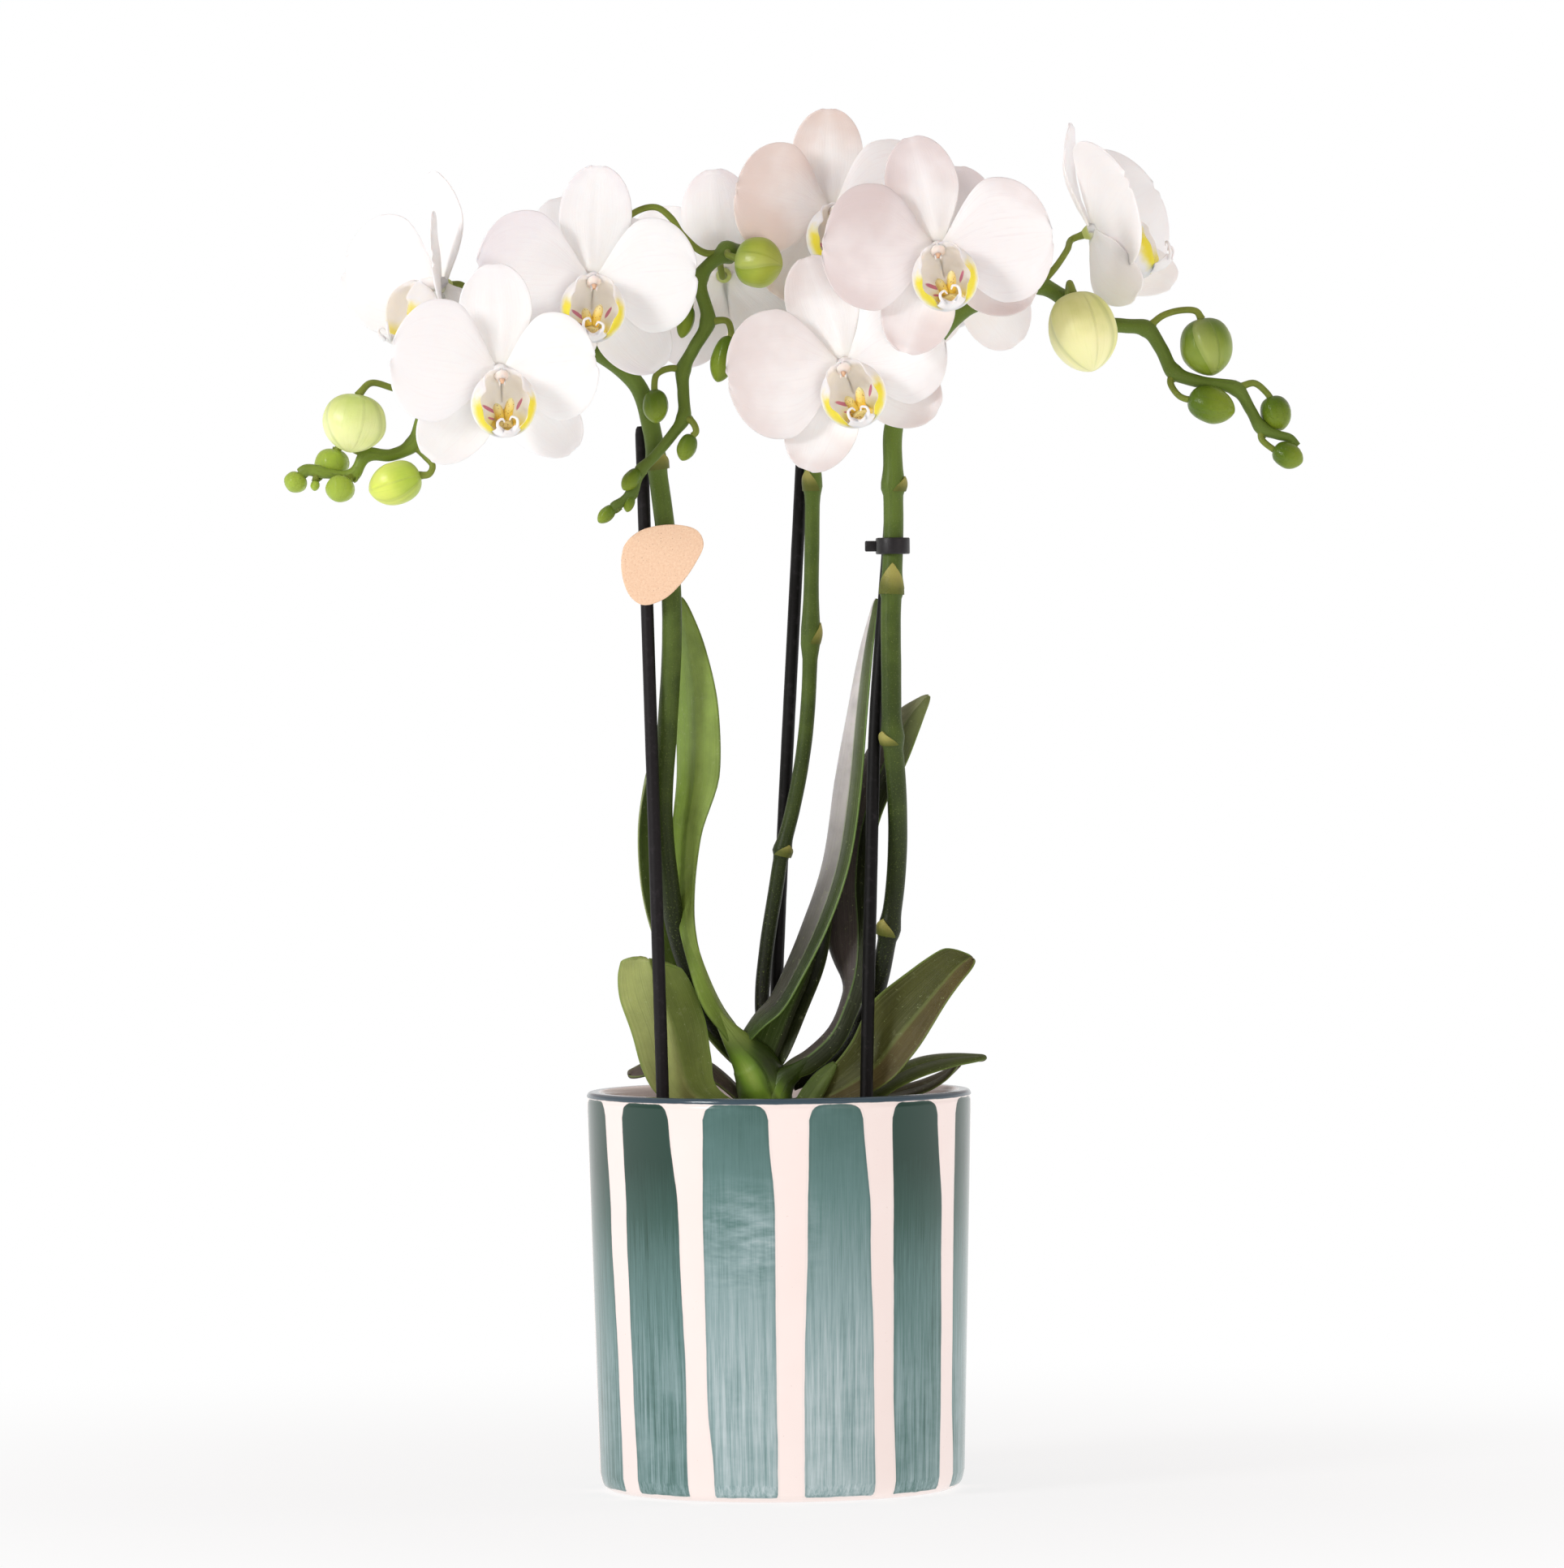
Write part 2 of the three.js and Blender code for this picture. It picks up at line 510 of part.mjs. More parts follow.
function petalBlade(angle, length, sweep, twist) {
  const turn = radians(90 - angle);
  const side = Math.sign(Math.cos(turn)) || 1;
  const along = new THREE.Vector3(Math.cos(turn), Math.sin(turn), 0);
  const across = new THREE.Vector3(-Math.sin(turn), Math.cos(turn), 0).multiplyScalar(side);
  const lean = radians(sweep);
  const tilt = radians(twist);
  const grid = PETAL_STEPS.map((t) => [-1, 0, 1].map((v) => {
    const reach = ROOT_REACH + (length - ROOT_REACH) * t;
    const width = (PETAL_HALF_WIDTH * length * petalWidth(t)) / USUAL_LENGTHS[1];
    const fall = 2.2 * ((v * width) / PETAL_HALF_WIDTH) ** 2;
    const lift = 0.5 + reach * Math.sin(lean) + 1.6 * Math.sin(Math.PI * t) - fall - v * width * Math.sin(tilt);
    return along.clone().multiplyScalar(reach * Math.cos(lean))
      .addScaledVector(across, v * width * Math.cos(tilt))
      .add(new THREE.Vector3(0, 0, lift));
  }));
  return blade(grid, () => TEPAL_THICKNESS);
}

function sepalBlade(angle, length, cup, twist) {
  const turn = radians(90 - angle);
  const lean = radians(cup);
  const tilt = radians(twist) * Math.sign(angle);
  const along = new THREE.Vector3(Math.cos(turn), Math.sin(turn), 0);
  const across = new THREE.Vector3(-Math.sin(turn), Math.cos(turn), 0);
  const grid = SEPAL_STEPS.map((t) => [-1, 0, 1].map((v) => {
    const reach = ROOT_REACH + (length - ROOT_REACH) * t;
    const width = SEPAL_HALF_WIDTH * sepalWidth(t);
    const bow = 3.2 * Math.sin(Math.PI * Math.min(1, t * 1.05)) - 1.6 * t * t - 0.8 * v * v * Math.sin(Math.PI * t);
    const lift = reach * Math.sin(lean) - 1.3 - bow + v * width * Math.sin(tilt);
    return along.clone().multiplyScalar(reach * Math.cos(lean))
      .addScaledVector(across, v * width * Math.cos(tilt))
      .add(new THREE.Vector3(0, 0, lift));
  }));
  return blade(grid, () => TEPAL_THICKNESS);
}

// The column stands forward from the heart over the mouth of the lip
const column = () => tube([[0, 0.3, -1], [0, 0.2, 4], [0, -0.6, 8.6]], [2.5, 2.2, 2.5, 1.5], 3, 5);
const receptacle = () => tube([[0, 0, -RECEPTACLE_DEPTH], [0, 0, 1.4]], [1.8, 3.2, 2.9], 2, 5);

function tepals(bloom) {
  const angles = bloom.angles ?? USUAL_ANGLES;
  const lengths = bloom.lengths ?? USUAL_LENGTHS;
  const turns = bloom.turns ?? USUAL_TURNS;
  const cups = bloom.cups ?? USUAL_CUPS;
  const blades = angles.map((angle, k) => (SEPAL_PLACES.includes(k)
    ? sepalBlade(angle, lengths[k], cups[SEPAL_PLACES.indexOf(k)], turns[k])
    : petalBlade(angle, lengths[k], bloom.sweep, turns[k])));
  return mainPiece(fused([receptacle(), column(), ...blades]));
}

// Lip: two side lobes that cup the column, a foot with the callus, and a forward tongue with two tendrils
const LIP_CENTRE = [0, -8.2, 9.4];
const LIP_REACH = [8.8, 8.6, 7.8];

function lipLobes() {
  const grid = [34, 82, 130, 180, 230, 278, 326].map((azimuth) => [52, 86, 122].map((polar) => {
    const a = radians(azimuth);
    const p = radians(polar);
    return new THREE.Vector3(
      LIP_REACH[0] * Math.sin(p) * Math.sin(a) + LIP_CENTRE[0],
      LIP_REACH[1] * Math.sin(p) * Math.cos(a) + LIP_CENTRE[1],
      LIP_REACH[2] * Math.cos(p) + LIP_CENTRE[2]);
  }));
  return blade(grid, () => TEPAL_THICKNESS);
}

function lipTongue() {
  const grid = [
    [0, -15.6, 7, 3], [0, -17, 13.5, 4.6], [0, -15, 20, 1.3],
  ].map(([x, y, z, width]) => [-1, 0, 1].map((v) => new THREE.Vector3(x + v * width, y + 1.2 * v * v, z)));
  return blade(grid, () => 1);
}

const lipTendril = (side) => tube(
  [[side * 0.7, -15.2, 19.4], [side * 2.2, -13.8, 21.6], [side * 3.8, -12.2, 20.6]], [0.55, 0.4, 0.35], 2, 3);

function lip() {
  const foot = tube([[0, -3.2, 2.6], [0, -10.5, 3.4], [0, -15.6, 7]], [1.5, 3.2, 2.2], 2, 4);
  const callus = tube([[0, -12.2, 5], [0, -10.2, 8.4]], [2, 1.5], 1, 4);
  return mainPiece(fused([foot, callus, lipLobes(), lipTongue(), lipTendril(1), lipTendril(-1)]));
}

const turnedLip = lip();

// Spikes: the stem's line and its radii, the joints with their sheaths, and the side stalks.
// A stalk leads to a bloom by its letter, or ends in a bud of its own.
const SPIKES = {
  spike_left: {
    line: [[-9.5, 3, 123], [-18, 3, 131.5], [-24.5, 2.6, 145], [-28.2, 1, 156.5], [-30.5, -3, 171],
      [-32, -4.6, 191], [-30.5, -4, 213.5], [-29, -5.2, 236.5], [-29, -7, 254.5], [-30.5, -7.8, 270.5],
      [-32.5, -8.5, 286.5],
      [-34, -9, 298], [-38, -9, 310.5], [-49.5, -7, 320], [-60, -6, 323.5], [-71, -6, 323.5], [-82.5, -7, 319],
      [-91.5, -8, 312], [-98, -9, 302], [-101, -9, 294.5], [-107, -9, 291.5], [-114, -9, 291.5], [-118, -9, 286],
      [-125, -9, 286.5], [-130.5, -9, 287.5], [-133, -9, 286.5]],
    radii: [2.9, 2.9, 2.9, 2.8, 2.8, 2.6, 2.3, 2.1, 1.9, 1.7, 1.4, 1.1],
    joints: [0.405],
    stalks: [
      { path: [[-60, -6, 323.5], [-57, -4, 331]], bloom: 'd' },
      { path: [[-82.5, -7, 319], [-81, -16, 319], [-77.5, -30, 315]], bloom: 'b' },
      { path: [[-78, -6.6, 321.5], [-80, 0, 326], [-83, 5, 331.5]], bloom: 'a' },
      { path: [[-101, -9, 294.5], [-97.5, -10.5, 291], [-95.4, -12, 288.3], [-96.4, -13, 286]],
        node: 'bud_left_low' },
      { path: [[-96, -8.6, 306], [-102, -9, 308.5], [-107, -10, 310.4], [-112.5, -12, 311.6]],
        node: 'bud_left_high' },
      { path: [[-114, -9, 291.5], [-118.5, -7, 293.5], [-121, -5, 294], [-123.3, -4, 293]],
        bud: [[-123.5, -4, 293.5], [-124.5, -3.5, 285], 4.9] },
      { path: [[-118, -9, 286], [-119, -12, 284.8], [-120.5, -13, 285]],
        bud: [[-120.6, -13, 285.4], [-122, -15.5, 278.5], 4.1] },
      { path: [[-127.5, -9, 287.2], [-128.2, -9.8, 285.4]],
        bud: [[-128.3, -10, 284.6], [-128.6, -10.3, 281.6], 1.3] },
      { path: [[-131.5, -9, 287.2], [-133, -9, 286]], bud: [[-132.6, -9, 286.6], [-135.5, -9, 281.5], 3.3] },
    ],
  },
  spike_middle: {
    line: [[-3.5, 5, 122], [-4.5, 7, 137], [-3, 8, 152.5], [-0.5, 8, 167.5], [1.5, 8, 179], [4.5, 8, 190.5],
      [7.5, 8, 205.5], [9.3, 8, 222], [10.5, 8, 258], [11, 8, 282], [11.5, 9, 304.5], [11, 9, 323], [8, 8, 338.5],
      [2, 5, 345.5], [-6, 0, 347.5], [-12.5, -6, 347.5], [-20, -8, 340.5], [-18, -11, 328], [-22, -12, 320.5],
      [-25, -12, 314.5], [-25, -14, 308], [-25, -17, 301], [-28, -18, 296.5], [-33.5, -18, 290],
      [-37, -18, 286.5], [-39.5, -18, 280.5], [-42, -18, 278], [-45, -18, 276]],
    radii: [2.1, 2.1, 2.1, 2.1, 2.1, 2.1, 2.0, 1.9, 1.8, 1.7, 1.5, 1.3, 1.0],
    joints: [0.148, 0.277, 0.333],
    stalks: [
      { path: [[11.5, 9, 308], [13, 2, 309], [17, -12, 313.5]], bloom: 'h' },
      { path: [[8.5, 8.2, 337], [11, 10, 345], [15.5, 10, 355]], bloom: 'f' },
      { path: [[-12.5, -6, 347.5], [-14, 0, 349], [-14.5, 7, 345]], bloom: 'e' },
      { path: [[-12.5, -6, 347.5], [-19, -8, 347.5], [-25, -11, 352.5], [-28, -12.5, 357], [-32, -12.5, 360],
        [-37, -12, 359.3], [-44, -9.5, 354], [-49, -9, 346.5]], bloom: 'c' },
      { path: [[-12.5, -6, 347.5], [-12.3, -9.5, 347.4], [-12.2, -12, 346.6]], node: 'bud_middle' },
      { path: [[-20, -8, 340.5], [-22.5, -9, 336.5], [-23, -10, 332]],
        bud: [[-23, -10, 332.5], [-25.5, -11, 323.5], 2.3] },
      { path: [[-18, -11, 328], [-12.5, -12, 328], [-11.5, -13, 323.5]],
        bud: [[-11.8, -13, 323.8], [-15.5, -14, 311], 3.6] },
      { path: [[-25, -12, 314.5], [-28.5, -13, 315], [-32.5, -16.2, 313], [-33, -18.2, 308.5]],
        bud: [[-33, -18.2, 309], [-32.5, -18.4, 299.5], 3.6] },
      { path: [[-25, -17, 301], [-22.5, -19, 299.8], [-21.5, -20, 297], [-22.8, -20, 295.8]],
        bud: [[-22.8, -20, 296.3], [-25.5, -20, 289], 2.7] },
      { path: [[-37, -18, 286.5], [-38, -19, 286.2]], bud: [[-37.6, -18.8, 286.6], [-42, -20.5, 281], 2.3] },
      { path: [[-39.5, -18, 280.5], [-40, -18, 279.5]], bud: [[-39.8, -18, 280], [-41, -18, 274.8], 1.6] },
      { path: [[-44, -18, 276.5], [-45.5, -18, 275.6]], bud: [[-44.6, -18, 276.4], [-49, -18, 272], 2.0] },
    ],
  },
  spike_right: {
    line: [[3.5, 4, 114], [11.5, 5, 117.5], [18.5, 5, 123.5], [24.5, 3.5, 132], [28, 1.5, 141], [30.5, -1, 152.5],
      [33, -2.5, 167.5], [34, -4.5, 182.5], [33.7, -9, 198], [32.6, -12.2, 213], [32.5, -12.6, 230],
      [32.5, -12.2, 244], [33, -11.4, 257.5], [33.5, -10.8, 270], [33.5, -10.6, 286], [33.8, -10.6, 298],
      [38.5, -11, 311], [48, -12, 325.5],
      [57, -12, 333], [67, -10, 337.3], [75, -8, 337.5], [83, -7, 333], [90.5, -7, 327], [98.5, -7, 326],
      [105, -7, 325], [109, -7, 319.5], [112.5, -7, 313], [120, -7, 310], [130, -7, 308], [134, -7, 302],
      [137, -7, 297], [141.5, -7, 295], [145, -7, 294], [147, -7, 291.8]],
    radii: [2.6, 2.6, 2.7, 2.8, 2.9, 2.7, 2.4, 2.2, 2.0, 1.8, 1.5, 1.1],
    joints: [0.16, 0.268, 0.352, 0.415],
    stalks: [
      { path: [[57, -12, 333], [54.5, -20, 339], [49.5, -29, 345]], bloom: 'g' },
      { path: [[61, -11, 335], [62, -6, 339.5]], bloom: 'j' },
      { path: [[75, -8, 337.5], [79.5, -6.5, 342.4], [83, -2.5, 347.5]], bloom: 'i' },
      { path: [[83, -7, 333], [83, -11.5, 336], [83.3, -17.5, 337.6]], node: 'bud_right_large' },
      { path: [[105, -7, 325], [109.5, -7, 328.7], [115, -7, 330.2], [119, -7, 329.8]], node: 'bud_right_upper' },
      { path: [[112.5, -7, 313], [111.5, -8, 310], [114, -10, 306], [117, -11, 305]],
        bud: [[116.4, -11, 305.4], [129.3, -12, 301.4], 5.2] },
      { path: [[130, -7, 308], [135, -6, 309.6], [138.5, -5, 307], [139.8, -5, 305.2]],
        bud: [[139.6, -5, 305.8], [142.8, -5, 296.3], 4.4] },
      { path: [[137, -7, 297], [137, -8, 293.8], [140.8, -9, 290.6]],
        bud: [[140.2, -9, 291], [148.3, -10, 287.3], 3.7] },
    ],
  },
};
const BUD_SHAPE = [0.35, 0.95, 1, 0.74, 0.16];
const SMALL_BUD_SHAPE = [0.4, 1, 0.86, 0.16];
const JOINT_SWELL = 0.7;

function budSolid(base, tip, radius, sides) {
  return tube([base, tip], BUD_SHAPE.map((share) => share * radius), BUD_SHAPE.length - 1, sides);
}

// Large buds, each a node of its own: its base, its tip and its radius
const LARGE_BUDS = {
  bud_left_high: [[-116, -14, 308.4], [-118.6, -15, 292.2], 9.1],
  bud_left_low: [[-98.8, -13.3, 285.7], [-113.2, -13.3, 281.3], 6.2],
  bud_middle: [[-10, -13.2, 345.6], [3, -15.5, 343.2], 7.3],
  bud_right_large: [[84.2, -20, 334.6], [89, -25, 312.8], 9.6],
  bud_right_upper: [[120.4, -7, 327.8], [123.4, -7, 311.8], 7.6],
};

function stalkEnd(stalk) {
  if (stalk.bloom) {
    const bloom = BLOOMS[stalk.bloom];
    const { facing } = bloomTurn(bloom);
    return vector(bloom.heart).addScaledVector(facing, -RECEPTACLE_DEPTH - GAP).toArray();
  }
  if (stalk.node) {
    const [base, tip] = LARGE_BUDS[stalk.node].map((place) => (Array.isArray(place) ? vector(place) : place));
    return base.clone().addScaledVector(tip.clone().sub(base).normalize(), -BUD_GAP).toArray();
  }
  return null;
}

function stalkApproach(stalk) {
  const bloom = BLOOMS[stalk.bloom];
  const { facing } = bloomTurn(bloom);
  return vector(bloom.heart).addScaledVector(facing, -RECEPTACLE_DEPTH - 3.5).toArray();
}

function stalkSolid(stalk) {
  const path = [...stalk.path];
  const end = stalkEnd(stalk);
  if (stalk.bloom) path.push(stalkApproach(stalk));
  if (end) path.push(end);
  if (!stalk.bud) {
    return tube(path, [PEDICEL_RADIUS, PEDICEL_RADIUS * 0.85, PEDICEL_RADIUS], path.length - 1, PEDICEL_SIDES);
  }
  const [base, tip, radius] = stalk.bud;
  const parts = path.length + 1;
  const rings = path.map((_, k) => [k / parts, PEDICEL_RADIUS * 0.9]);
  const budSteps = SMALL_BUD_SHAPE.length - 1;
  SMALL_BUD_SHAPE.forEach((share, k) => rings.push([(path.length + k / budSteps) / parts, share * radius]));
  return stem([...path, base, tip], rings, PEDICEL_SIDES);
}

// A spike's main stem swells at each joint, where a sheath clasps it
function mainStem(spike, grow = 0) {
  const count = spike.line.length - 1;
  const rings = evenRings(spike.radii, count, grow);
  for (const place of spike.joints) {
    const radius = valueAlong(spike.radii, place) + grow;
    rings.push([place - 0.1 / count, radius + 0.1]);
    rings.push([place, radius + JOINT_SWELL]);
    rings.push([place + 0.35 / count, radius + 0.3]);
  }
  return stem(spike.line, rings.sort(([a], [b]) => a - b), STEM_SIDES);
}

const spikeSolid = (spike) => mainPiece(fused([mainStem(spike), ...spike.stalks.map(stalkSolid)]));

// Clips: an oval band round a spike and its stake, with a short pinch tab
const CLIPS = {
  clip_left: { spike: 'spike_left', stake: 'stake_left', height: 261 },
  clip_middle: { spike: 'spike_middle', stake: 'stake_middle', height: 297 },
  clip_right: { spike: 'spike_right', stake: 'stake_right', height: 264.8 },
};

const RISING_SHARE = 0.45;
const TAB_LENGTH = 4;
const TAB_HEIGHT = 3;
const ARC_STEPS = 4;

function placeAtHeight(line, height, upTo) {
  const curve = curveThrough(line);
  let low = 0;
  let high = upTo;
  for (let k = 0; k < 30; k += 1) {
    const middle = (low + high) / 2;
    if (curve.getPoint(middle).z < height) low = middle;
    else high = middle;
  }
  return curve.getPoint(low);
}

// Half circles round two centres, joined into one oval
function ovalOutline(first, second, firstRadius, secondRadius) {
  const heading = Math.atan2(second.y - first.y, second.x - first.x);
  const halfCircle = (centre, radius, start) => Array.from({ length: ARC_STEPS + 1 }, (_, k) => {
    const angle = start + (Math.PI * k) / ARC_STEPS;
    return new THREE.Vector2(centre.x + radius * Math.cos(angle), centre.y + radius * Math.sin(angle));
  });
  return [
    ...halfCircle(first, firstRadius, heading + Math.PI / 2),
    ...halfCircle(second, secondRadius, heading - Math.PI / 2),
  ];
}

function clipSolid(clip) {
  const spike = SPIKES[clip.spike];
  const stem = placeAtHeight(spike.line, clip.height, RISING_SHARE);
  const cane = placeAtHeight(STAKES[clip.stake], clip.height, 1);
  const stemRadius = spike.radii[4] + GAP + 0.15;
  const caneRadius = STAKE_RADIUS + GAP + 0.15;
  const outline = new THREE.Shape(ovalOutline(stem, cane, stemRadius + CLIP_WALL, caneRadius + CLIP_WALL));
  outline.holes.push(new THREE.Path(ovalOutline(stem, cane, stemRadius, caneRadius)));
  const band = new THREE.ExtrudeGeometry(outline, { depth: CLIP_HEIGHT, bevelEnabled: false });
  band.translate(0, 0, clip.height - CLIP_HEIGHT / 2);
  const tab = new THREE.BoxGeometry(TAB_LENGTH, 2, TAB_HEIGHT);
  const leftSide = Math.min(stem.x - stemRadius, cane.x - caneRadius) - CLIP_WALL;
  tab.translate(leftSide + 1 - TAB_LENGTH / 2, stem.x < cane.x ? stem.y : cane.y, clip.height);
  return mainPiece(solidFromGeometry(band).add(solidFromGeometry(tab))
    .subtract(mainStem(spike, GAP)).subtract(stake(STAKES[clip.stake], GAP)));
}

// Tag: a bare card shield that leans on the front of the left clip
const TAG_OUTLINE = [[-11.5, 2.3], [-11.5, -1.4], [-10.4, -6.2], [-8.6, -9.3], [-5.4, -11.2], [0.3, -9.6],
  [5, -5.5], [9.3, 0.4], [11.6, 5.8], [9.8, 9.6], [3.4, 11.3], [-4.8, 10.2], [-8.6, 8], [-10.7, 5.4]];
const TAG_CENTRE = [-31.3, 260];
const TAG_STEPS = 20;

function tagSolid() {
  const rim = new THREE.SplineCurve([...TAG_OUTLINE, TAG_OUTLINE[0]].map(([x, z]) => new THREE.Vector2(x, z)));
  const shape = new THREE.Shape(rim.getPoints(TAG_STEPS).slice(0, -1));
  const card = new THREE.ExtrudeGeometry(shape, { depth: TAG_THICKNESS, bevelEnabled: false });
  card.rotateX(Math.PI / 2);
  const stem = placeAtHeight(SPIKES.spike_left.line, CLIPS.clip_left.height, RISING_SHARE);
  const front = stem.y - SPIKES.spike_left.radii[4] - GAP - 0.15 - CLIP_WALL - GAP;
  card.translate(TAG_CENTRE[0], front, TAG_CENTRE[1]);
  return solidFromGeometry(card);
}

// The parts put together
const orchid = new THREE.Group();
orchid.name = 'potted_moon_orchid';

function place(name, solid, material, matrix) {
  const mesh = new THREE.Mesh(geometryOf(solid), material);
  mesh.name = name;
  if (matrix) mesh.applyMatrix4(matrix);
  orchid.add(mesh);
}

const crownRoom = crown(GAP);
const stakeRooms = Object.values(STAKES).map((line) => stake(line, GAP));
const spikeRooms = Object.values(SPIKES).map((spike) => mainStem(spike, GAP));

place('pot', ceramicPot(), MATERIALS.glaze);
place('grow_pot', growPot(), MATERIALS.potPlastic);
place('crown', crown(), MATERIALS.crown);

let bark = barkPlug().subtract(crownRoom);
stakeRooms.forEach((room) => { bark = bark.subtract(room); });
const leafRooms = [];
for (const [name, leaf] of Object.entries(LEAVES)) {
  let solid = leafBlade(leaf).subtract(crownRoom);
  [...spikeRooms, ...leafRooms].forEach((room) => { solid = solid.subtract(room); });
  place(name, mainPiece(solid), MATERIALS.leaf);
  leafRooms.push(leafBlade(leaf, GAP));
}
place('bark', mainPiece(bark), MATERIALS.bark);

for (const [name, line] of Object.entries(STAKES)) place(name, stake(line), MATERIALS.black);
for (const [name, spike] of Object.entries(SPIKES)) {
  place(name, mainPiece(spikeSolid(spike).subtract(crownRoom)), MATERIALS.stem);
}
for (const [name, clip] of Object.entries(CLIPS)) place(name, clipSolid(clip), MATERIALS.black);
place('tag', tagSolid(), MATERIALS.card);

for (const [letter, bloom] of Object.entries(BLOOMS)) {
  const { matrix } = bloomTurn(bloom);
  matrix.setPosition(vector(bloom.heart));
  const roll = new THREE.Matrix4().makeRotationZ(radians(-(bloom.angles ?? USUAL_ANGLES)[0]));
  place(`bloom_${letter}`, tepals(bloom), MATERIALS.petal, matrix);
  place(`lip_${letter}`, turnedLip, MATERIALS.lip, matrix.clone().multiply(roll));
}
for (const [name, [base, tip, radius]] of Object.entries(LARGE_BUDS)) {
  place(name, budSolid(base, tip, radius, 9), MATERIALS.bud);
}

export default orchid;
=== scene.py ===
# Looks of a potted moon orchid: white blooms on three spikes, held by black stakes, in a striped
# ceramic pot. Forms are worked out in millimetres and set down in metres, in the part's own frame.
import math
import random

import bmesh
import bpy
from mathutils import Matrix, Vector, noise


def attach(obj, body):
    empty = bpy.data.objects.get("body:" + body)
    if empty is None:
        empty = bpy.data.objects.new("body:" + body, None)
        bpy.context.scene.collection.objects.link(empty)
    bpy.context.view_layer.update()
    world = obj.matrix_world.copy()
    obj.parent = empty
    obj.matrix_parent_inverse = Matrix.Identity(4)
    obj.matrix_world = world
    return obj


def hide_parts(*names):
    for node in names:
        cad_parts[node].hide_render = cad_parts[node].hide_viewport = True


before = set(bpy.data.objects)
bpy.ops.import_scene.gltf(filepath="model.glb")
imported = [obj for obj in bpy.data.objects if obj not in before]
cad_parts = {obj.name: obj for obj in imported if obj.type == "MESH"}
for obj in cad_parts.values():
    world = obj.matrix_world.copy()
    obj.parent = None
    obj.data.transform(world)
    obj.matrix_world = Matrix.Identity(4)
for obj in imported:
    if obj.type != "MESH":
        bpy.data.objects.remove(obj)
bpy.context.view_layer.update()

# Ceramic pot
# A slip cast pot with a slightly tapered wall, a rounded foot and a rolled rim. Twelve broad
# stripes are brushed on the cream body by hand, with a thin band round the rim, and the whole is
# glazed glossy.
# In a metre
MILLIMETRES = 1000.0
SHARP_CORNER = math.radians(48)


class Shade:
    """One value or colour inside a material. Arithmetic on it adds the Math nodes that work it out."""

    def __init__(self, finish, socket):
        self.finish = finish
        self.socket = socket

    def math(self, operation, *values):
        return self.finish.node("Math", {"operation": operation}, dict(enumerate(values)))

    def __add__(self, other):
        return self.math("ADD", self, other)

    def __sub__(self, other):
        return self.math("SUBTRACT", self, other)

    def __rsub__(self, other):
        return self.math("SUBTRACT", other, self)

    def __mul__(self, other):
        return self.math("MULTIPLY", self, other)

    def __truediv__(self, other):
        return self.math("DIVIDE", self, other)

    def __pow__(self, other):
        return self.math("POWER", self, other)

    __radd__ = __add__
    __rmul__ = __mul__

    def between(self, low, high):
        """0 below low, 1 above high and a smooth rise from one to the other."""
        return self.finish.node(
            "MapRange", {"interpolation_type": "SMOOTHSTEP"},
            {"Value": self, "From Min": low, "From Max": high})

    def near(self, place, width):
        """1 at place, falling smoothly to 0 at width on both sides of it."""
        return 1 - (self - place).size().between(0, width)

    def size(self):
        return self.math("ABSOLUTE", self)


class Finish:
    """A procedural material. node() adds any node, and surface() joins what varies to the shader."""

    def __init__(self, name, owner=None):
        self.material = owner or bpy.data.materials.new(name)
        self.material.use_nodes = True
        self.tree = self.material.node_tree
        self.tree.nodes.clear()

    def node(self, kind, settings=None, sockets=None, out=0):
        made = self.tree.nodes.new("ShaderNode" + kind)
        for key, value in (settings or {}).items():
            if key == "stops":
                ramp = made.color_ramp
                for _ in value[2:]:
                    ramp.elements.new(0.5)
                for stop, (place, colour) in zip(ramp.elements, value):
                    stop.position = place
                    stop.color = colour
            else:
                setattr(made, key, value)
        for key, value in (sockets or {}).items():
            if isinstance(value, Shade):
                self.tree.links.new(value.socket, made.inputs[key])
            else:
                made.inputs[key].default_value = value
        return None if out is None else Shade(self, made.outputs[out])

    def mix(self, share, first, second):
        """A colour between two: share 0 is the first, share 1 the second."""
        settings = {"data_type": "RGBA", "clamp_factor": True}
        return self.node("Mix", settings, {0: share, 6: first, 7: second}, out=2)

    def ramp(self, value, *stops):
        return self.node("ValToRGB", {"stops": stops}, {"Fac": value})

    def place(self):
        """The three numbers that each mesh carries for its finish."""
        return self.parts(self.node("Attribute", {"attribute_name": "place"}, out=1))

    def parts(self, vector):
        return [self.node("SeparateXYZ", None, {0: vector}, out=k) for k in range(3)]

    def vector(self, *values):
        return self.node("CombineXYZ", None, dict(enumerate(values)))

    def spot(self):
        """Where the surface is, in millimetres."""
        here = self.node("TexCoord", None, None, out=3)
        return self.node("VectorMath", {"operation": "SCALE"}, {0: here, "Scale": MILLIMETRES})

    def noise(self, where, scale, detail=2.0, roughness=0.5):
        return self.node("TexNoise", None, {
            "Vector": where, "Scale": scale, "Detail": detail, "Roughness": roughness})

    def surface(self, colour, roughness=0.5, height=None, flesh=None, **steady):
        """height is a relief in millimetres. flesh is how much light soaks in, how far each of its
        colours gets and the depth in metres. steady holds the shader's other unchanging sockets."""
        sockets = {"Base Color": colour, "Roughness": roughness}
        if height is not None:
            sockets["Normal"] = self.node("Bump", None, {
                "Strength": 1.0, "Distance": 1 / MILLIMETRES, "Height": height})
        if flesh is not None:
            steady.update(zip(("Subsurface_Weight", "Subsurface_Radius", "Subsurface_Scale"), flesh))
        for key, value in steady.items():
            sockets[key.replace("_", " ")] = value
        shader = self.node("BsdfPrincipled", None, sockets)
        self.node("OutputMaterial", None, {"Surface": shader}, out=None)


